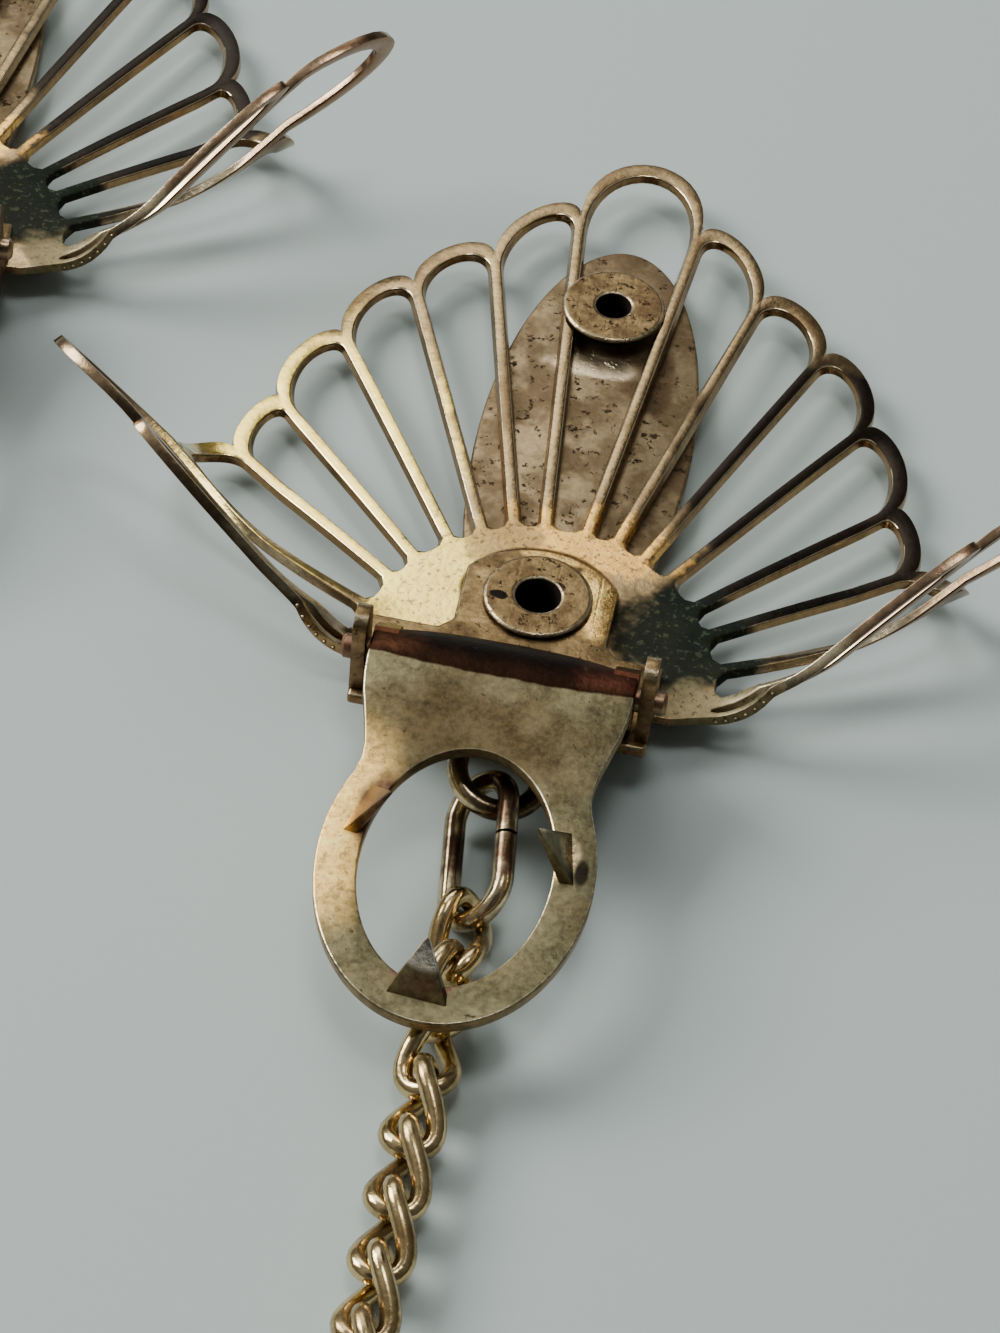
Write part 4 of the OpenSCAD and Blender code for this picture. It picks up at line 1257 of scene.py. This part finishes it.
@dataclass
class Lever:
    """The lever: a sheet with a curved heel over the pin, an oval opening and three teeth.

    Args:
        slope: How far it is turned up from level about the pin, in degrees.
        rise: Height of its upper face above the pin's middle.
        flank: Outline beside the heel: half width and distance from the pin.
        teeth: Direction from the opening's middle and upward bend of each tooth, in degrees.
    """

    sheet: float = 0.55
    slope: float = 7.5
    rise: float = 1.45
    heel_start: float = 1.15
    heel_radius: float = 3.0
    heel_turn: float = 48.0
    heel_taper: float = 0.45
    heel_steps: int = 14
    heel_half: float = 4.82
    flank: tuple[Pair, ...] = (
        (4.82, 1.15), (4.77, 1.9), (4.66, 2.6), (4.5, 3.2), (4.28, 4.1), (4.13, 4.8), (4.1, 5.4),
    )
    flank_angle: float = 29.0
    oval_distance: float = 9.1
    oval_half: Pair = (4.84, 6.3)
    band: float = 1.5
    lug_width: float = 0.9
    lug_radius: float = 1.1
    lug_bore: float = 0.5
    tooth_base: float = 2.5
    tooth_length: float = 2.3
    tooth_root: float = 0.4
    tooth_inset: float = 0.35
    tooth_taper: float = 0.8
    teeth: tuple[Pair, ...] = ((163, 62), (12, 62), (-94, 62))

    def outer(self) -> list[Vector]:
        """Returns the outline from the heel's left corner down round the oval and up again."""
        start = radians(self.flank_angle)
        centre = (0, -self.oval_distance, 0)
        ring = MeshKit.arc(centre, self.oval_half, pi - start, pi + 2 * start, 80)
        left = MeshKit.at(0, *((-x, -y) for x, y in self.flank))
        return left + ring + MeshKit.at(0, *((x, -y) for x, y in reversed(self.flank)))

    def sheet_mesh(self):
        """Makes the sheet: flat part, spun heel and thickness."""
        bm = bmesh.new()
        edges = MeshKit.loop(bm, self.outer(), closed=False)
        steps = 16
        first, last = edges[0].verts[0], edges[-1].verts[1]
        fold = [last, *(bm.verts.new(last.co.lerp(first.co, i / steps)) for i in range(1, steps)), first]
        top = [bm.edges.new(pair) for pair in zip(fold, fold[1:])]
        inner = (self.oval_half[0] - self.band, self.oval_half[1] - self.band)
        hole = MeshKit.loop(bm, MeshKit.oval((0, -self.oval_distance, 0), inner))
        bmesh.ops.triangle_fill(
            bm, edges=edges + top + hole, use_beauty=True, use_dissolve=False, normal=(0, 0, 1)
        )
        bmesh.ops.spin(
            bm, geom=[*fold, *top], cent=(0, -self.heel_start, -self.heel_radius), axis=(1, 0, 0),
            angle=-radians(self.heel_turn), steps=self.heel_steps, use_merge=False, use_duplicate=False,
        )
        MeshKit.weld(bm)
        for vert in bm.verts:
            out, up = vert.co.y + self.heel_start, vert.co.z + self.heel_radius
            if out > 1e-5:
                turn = atan2(out, up) * (1 - self.heel_taper * (vert.co.x / self.heel_half) ** 2)
                vert.co.y = self.heel_radius * sin(turn) - self.heel_start
                vert.co.z = self.heel_radius * cos(turn) - self.heel_radius
        bmesh.ops.recalc_face_normals(bm, faces=bm.faces)
        if sum(f.normal.z for f in bm.faces) < 0:
            bmesh.ops.reverse_faces(bm, faces=bm.faces)
        bmesh.ops.solidify(bm, geom=bm.faces[:], thickness=self.sheet)
        bmesh.ops.recalc_face_normals(bm, faces=bm.faces)
        MeshKit.soften(bm, 0.16, 3, 50)
        bmesh.ops.translate(bm, verts=bm.verts, vec=(0, 0, self.rise))
        return bm

    def tooth(self, direction: float, tilt: float):
        """Makes one tooth, a triangle bent up from the band's inner edge."""
        base, tip = self.tooth_base / 2, self.tooth_length + self.tooth_root
        shape = ((-base, -0.1), (base, -0.1), (0.12, tip - 0.15), (0, tip), (-0.12, tip - 0.15))
        bm = MeshKit.plate(MeshKit.at(self.sheet, *shape), self.sheet)
        for vert in bm.verts:
            share = 1 - self.tooth_taper * max(0.0, vert.co.y) / tip
            vert.co.z = self.sheet / 2 + (vert.co.z - self.sheet / 2) * share
        MeshKit.soften(bm, 0.05, 2, 30)
        turn = radians(direction)
        x, y = (half - self.band + self.tooth_inset for half in self.oval_half)
        spot = (x * cos(turn), y * sin(turn) - self.oval_distance, self.rise - self.sheet)
        faced = Matrix.Translation(spot) @ Matrix.Rotation(turn + pi / 2, 4, "Z")
        bmesh.ops.transform(bm, matrix=faced @ Matrix.Rotation(radians(tilt), 4, "X"), verts=bm.verts)
        return bm

    def lug(self, x: float):
        """Makes one side lug with its bore, its outer face at x."""
        web, radius, top = self.heel_start + 0.2, self.lug_radius, self.rise - self.sheet / 2
        points = MeshKit.arc((0, 0, 0), (radius, radius), pi, pi, 24)
        points += MeshKit.at(0, (radius, 0.25), (0.3, top), (-web, top), (-web, 0))
        return MeshKit.stood(points, self.lug_width, x, [MeshKit.circle((0, 0, 0), self.lug_bore, 32)])

    def build(self, place: ClipPlace, material: bpy.types.Material) -> None:
        """Adds the lever for one clip."""
        height = middle(place.node("hinge_pin")).z
        parts = [self.sheet_mesh()] + [self.tooth(*row) for row in self.teeth]
        parts += [self.lug(-self.heel_half), self.lug(self.heel_half - self.lug_width)]
        at_pin = place.matrix @ Matrix.Translation((HINGE_X, HINGE_Y, height))
        hand_over(
            MeshKit.join(parts), place.node("lever_sheet"), [place.node("lever")], material,
            at_pin @ Matrix.Rotation(radians(self.slope), 4, "X"), body=place.lever_body,
        )


# ---- Rings and chain ----------------------------------------------------------------------


@dataclass
class JumpRings:
    """The round ring in the bracket's eye and the oval ring that takes the chain."""

    wire: float = 0.78
    radius: float = 1.55
    first_at: Triple = (0.15, -8.47, 2.2)
    first_tilt: Pair = (12.5, 10.0)
    half: Pair = (1.3, 2.85)
    second_at: Triple = (0.04, -11.7, 1.55)
    second_tilt: Pair = (10.0, -45.7)

    @staticmethod
    def pose(spot: Triple, tilt: Pair) -> Matrix:
        """Returns a ring's place from its middle and its tilts about X and then Y."""
        lean = Matrix.Rotation(radians(tilt[1]), 4, "Y") @ Matrix.Rotation(radians(tilt[0]), 4, "X")
        return Matrix.Translation(spot) @ lean

    def build(self, place: ClipPlace, material: bpy.types.Material) -> None:
        """Adds both rings for one clip."""
        width, reach = self.half[0], self.half[1] - self.half[0]
        path = MeshKit.at(0, (width, 0.2), (width, reach))
        for end, start in ((reach, 0.0), (-reach, pi)):
            path += MeshKit.arc((0, end, 0), (width, width), start, pi, 28)
        path += MeshKit.at(0, (width, 0.08))
        circle = MeshKit.circle((0, 0, 0), self.radius, 64)
        for name, node, line, closed, spot, tilt in (
            ("round_ring", "ring_1", circle, True, self.first_at, self.first_tilt),
            ("oval_ring", "ring_2", path, False, self.second_at, self.second_tilt),
        ):
            hand_over(
                MeshKit.wire([line], self.wire / 2, 16, closed), place.node(name), [place.node(node)],
                material, place.matrix @ self.pose(spot, tilt), 60,
            )


@dataclass
class CurbChain:
    """The chain of twisted links, from one clip's oval ring to the other's.

    Args:
        x: Where its first straight run lies, beside the origin.
        start: Where the middle of its first link lies along Y.
        bend: Where its half turn back to the other clip starts along Y.
        bulge: How far a link's middle line twists out of its plane.
        reach: Half the length of a link's middle line, as a share of the pitch.
        lean: How far most links are rolled about the chain's length, in degrees.
        end_leans: How far the links nearest the ends are rolled.
    """

    x: float = 0.1
    start: float = -15.23
    bend: float = -34.0
    wire: float = 0.72
    width: float = 2.26
    pitch: float = 2.5
    bulge: float = 0.55
    reach: float = 0.688
    lean: float = -52.0
    end_leans: tuple[float, ...] = (0.0, 18.0, 36.0)
    steps: int = 36

    def places(self, other: ClipPlace) -> list[Matrix]:
        """Returns the place of each link along the straight, bend and straight."""
        turn = acos(max(-1.0, min(1.0, other.matrix[0][0])))
        end = other.matrix @ Vector((self.x, self.start, 0))
        run_x, run_y = self.x - end.x, end.y - self.bend
        share = (1 + cos(turn)) * cos(turn) + sin(turn) ** 2
        radius = (run_x * cos(turn) - run_y * sin(turn)) / share
        up = (run_x - radius * (1 + cos(turn))) / sin(turn)
        down, arc = self.start - self.bend, radius * (pi - turn)
        length = down + arc + up
        count = round(length / self.pitch) + 1
        found = []
        for k in range(count):
            s = length * k / (count - 1)
            if s < down:
                spot, angle = (self.x, self.start - s), 0.0
            elif s < down + arc:
                angle = (s - down) / radius
                spot = (self.x - radius + radius * cos(angle), self.bend - radius * sin(angle))
            else:
                m = length - s
                spot, angle = (end.x + m * sin(turn), end.y - m * cos(turn)), pi - turn
            lean = self.roll(min(k, count - 1 - k))
            height = self.wire / 2 + 0.01 - min((lean @ p).z for p in self.link())
            found.append(Matrix.Translation((*spot, height)) @ Matrix.Rotation(-angle, 4, "Z") @ lean)
        return found

    def roll(self, row: int) -> Matrix:
        """Returns how a link lies, by its row from the nearer end: the end links turn the other way."""
        if row < len(self.end_leans):
            return Matrix.Rotation(radians(self.end_leans[row]), 4, "Y")
        return Matrix.Rotation(radians(self.lean), 4, "Y") @ Matrix.Scale(-1, 4, (1, 0, 0))

    def link(self) -> list[Vector]:
        """Returns the middle line of one flat, twisted link."""
        half, reach = (self.width - self.wire) / 2, self.reach * self.pitch
        turns = (2 * pi * i / self.steps for i in range(self.steps))
        return [
            Vector((half * sin(t), -reach * cos(t), self.bulge * sin(2 * t))) for t in turns
        ]

    def build(self, other: ClipPlace, material: bpy.types.Material) -> None:
        """Adds the whole chain as one piece."""
        link = self.link()
        wire = MeshKit.wire([[matrix @ p for p in link] for matrix in self.places(other)], self.wire / 2, 12)
        hand_over(wire, "curb_chain", ["chain"], material, sharp=70)


# ---- Studio -------------------------------------------------------------------------------


@dataclass(frozen=True)
class Viewpoint:
    """The camera of the photograph.

    Args:
        elevation: Its height above the floor, in degrees.
        azimuth: Its direction from -Y towards +X, in degrees.
        roll: How far it is turned about its own axis, in degrees.
        focal_share: Its focal length as a share of the picture's width.
        distance: How far it stands from the origin, before slide and level, in millimetres.
        slide: Its move in its own picture plane.
        level: Its move upwards.
        sensor: Width of its sensor.
        near: Start of what it sees, in metres.
    """

    elevation: float = 48.43
    azimuth: float = 5.96
    roll: float = 6.15
    focal_share: float = 4.0
    distance: float = 148.15
    slide: Pair = (-1.41, -2.60)
    level: float = 2.4
    sensor: float = 36.0
    near: float = 0.001

    def build(self) -> None:
        """Adds the camera."""
        e, a, k = (radians(v) for v in (self.elevation, self.azimuth, self.roll))
        back = Vector((sin(a) * cos(e), -cos(a) * cos(e), sin(e)))
        right = (-back).cross(Vector((0, 0, 1))).normalized()
        up = right.cross(-back)
        tilted_right = right * cos(k) + up * sin(k)
        tilted_up = up * cos(k) - right * sin(k)
        spot = back * self.distance + tilted_right * self.slide[0] + tilted_up * self.slide[1]
        spot.z += self.level
        axes = Matrix((tilted_right, tilted_up, back)).transposed().to_4x4()
        camera = add_object("camera", bpy.data.cameras.new("camera"), Matrix.Translation(spot * MM) @ axes)
        camera.data.sensor_fit = "HORIZONTAL"
        camera.data.sensor_width = self.sensor
        camera.data.lens = self.sensor * self.focal_share
        camera.data.clip_start = self.near
        bpy.context.scene.camera = camera


@dataclass(frozen=True)
class Glow:
    """A round region of the surroundings.

    Args:
        azimuth: Its direction from +Y towards +X, in degrees.
        elevation: Its height above the floor, in degrees.
        radius: Its angular radius, in degrees.
        soft: How far its edge fades each way, in degrees.
        level: Light that it adds, or, below zero, the share that it takes away.
    """

    azimuth: float
    elevation: float
    radius: float
    soft: float
    level: float


@dataclass(frozen=True)
class Studio:
    """A plain pale floor and soft light from the left.

    Args:
        floor_half: Half the floor's side, in metres.
        key_power: The lamp's power, in watts.
        key_size: Its side, in metres; key_at and key_aim are its place and the point that it looks at.
        tint: Colour of the room's light.
        room: Light of the room below and above, which changes over the heights in dawn.
        glows: The regions that are brighter or darker.
    """

    floor_colour: Triple = (0.485, 0.553, 0.522)
    floor_half: float = 1.5
    floor_rough: float = 0.85
    key_power: float = 1.8
    key_size: float = 0.2
    key_at: Triple = (-0.32, 0.085, 0.26)
    key_aim: Triple = (-0.005, 0.0, 0.0)
    tint: Triple = (0.98, 1.0, 1.0)
    room: Pair = (0.10, 0.34)
    dawn: Pair = (-0.1, 0.9)
    glows: tuple[Glow, ...] = (
        Glow(-38, 46, 13, 7, 2.6),
        Glow(-9, 47, 11, 8, 2.6),
        Glow(30, 87, 7, 3, 10.0),
        Glow(16, 44, 13, 6, -0.9),
        Glow(176, 45, 30, 12, -0.85),
        Glow(95, 25, 40, 15, -0.5),
    )

    def build(self) -> None:
        """Adds the floor, the lamp and the surroundings."""
        bm = bmesh.new()
        bmesh.ops.create_grid(bm, x_segments=1, y_segments=1, size=self.floor_half)
        mesh = bpy.data.meshes.new("floor")
        bm.to_mesh(mesh)
        bm.free()
        material = bpy.data.materials.new("floor")
        material.use_nodes = True
        shader = material.node_tree.nodes["Principled BSDF"]
        shader.inputs["Base Color"].default_value = (*self.floor_colour, 1)
        shader.inputs["Roughness"].default_value = self.floor_rough
        mesh.materials.append(material)
        add_object("floor", mesh)
        self.lamp()
        self.surroundings()

    def lamp(self) -> None:
        """Adds the square lamp on the left, which looks at the object."""
        data = bpy.data.lights.new("key", "AREA")
        data.size = self.key_size
        data.energy = self.key_power
        aim = Vector(self.key_aim) - Vector(self.key_at)
        turn = aim.to_track_quat("-Z", "Y").to_matrix().to_4x4()
        add_object("key", data, Matrix.Translation(self.key_at) @ turn)

    def surroundings(self) -> None:
        """Makes the world: a grey room with soft bright and dark regions round set directions."""
        world = bpy.data.worlds.new("studio")
        world.use_nodes = True
        wires = Wires(world.node_tree)
        where = wires.node("TexCoord").outputs["Generated"]
        rise = wires.step(wires.node("SeparateXYZ", {0: where}).outputs["Z"], *self.dawn)
        level = wires.plus(wires.times(rise, self.room[1] - self.room[0]), self.room[0])
        for glow in self.glows:
            mask = wires.times(self.disc(wires, where, glow), glow.level)
            level = wires.times(level, wires.plus(mask, 1.0)) if glow.level < 0 else wires.plus(level, mask)
        wires.feed(world.node_tree.nodes["Background"].inputs["Color"], wires.scaled(self.tint, level))
        bpy.context.scene.world = world

    @staticmethod
    def disc(wires: Wires, where, glow: Glow):
        """Returns the mask of one region of the world."""
        turn, rise = radians(glow.azimuth), radians(glow.elevation)
        line = (sin(turn) * cos(rise), cos(turn) * cos(rise), sin(rise))
        dot = wires.node("VectorMath", {0: where, 1: line}, operation="DOT_PRODUCT")
        outer, inner = (cos(radians(max(0.5, glow.radius + side * glow.soft))) for side in (1, -1))
        return wires.step(dot.outputs["Value"], outer, inner)


@dataclass
class SweaterClip:
    """The whole object: two clips and the chain."""

    places: tuple[ClipPlace, ...] = (ClipPlace("a"), ClipPlace("b"))
    fan: FanSheet = field(default_factory=FanSheet)
    oval: OvalPlate = field(default_factory=OvalPlate)
    rivets: tuple[TubeRivet, ...] = (TubeRivet("lower_rivet", 0.84), TubeRivet("upper_rivet", 0.68))
    bracket: Bracket = field(default_factory=Bracket)
    pin: HingePin = field(default_factory=HingePin)
    lever: Lever = field(default_factory=Lever)
    rings: JumpRings = field(default_factory=JumpRings)
    chain: CurbChain = field(default_factory=CurbChain)

    def build(self) -> None:
        """Adds every piece."""
        pin, rings = Finishes.pin().build(), Finishes.rings().build()
        for place in self.places:
            rivet, lever = Finishes.rivet(place).build(), Finishes.lever(place).build()
            self.fan.build(place)
            self.oval.build(place)
            for piece in self.rivets:
                piece.build(place, rivet)
            self.bracket.build(place)
            self.pin.build(place, pin)
            self.lever.build(place, lever)
            self.rings.build(place, rings)
        self.chain.build(self.places[1], Finishes.chain().build())


def main() -> None:
    """Builds the groups, the object, the studio and the camera."""
    logging.basicConfig(level=logging.INFO, format="%(message)s")
    Effect.build_all()
    SweaterClip().build()
    Studio().build()
    Viewpoint().build()


if __name__ == "__main__":
    main()
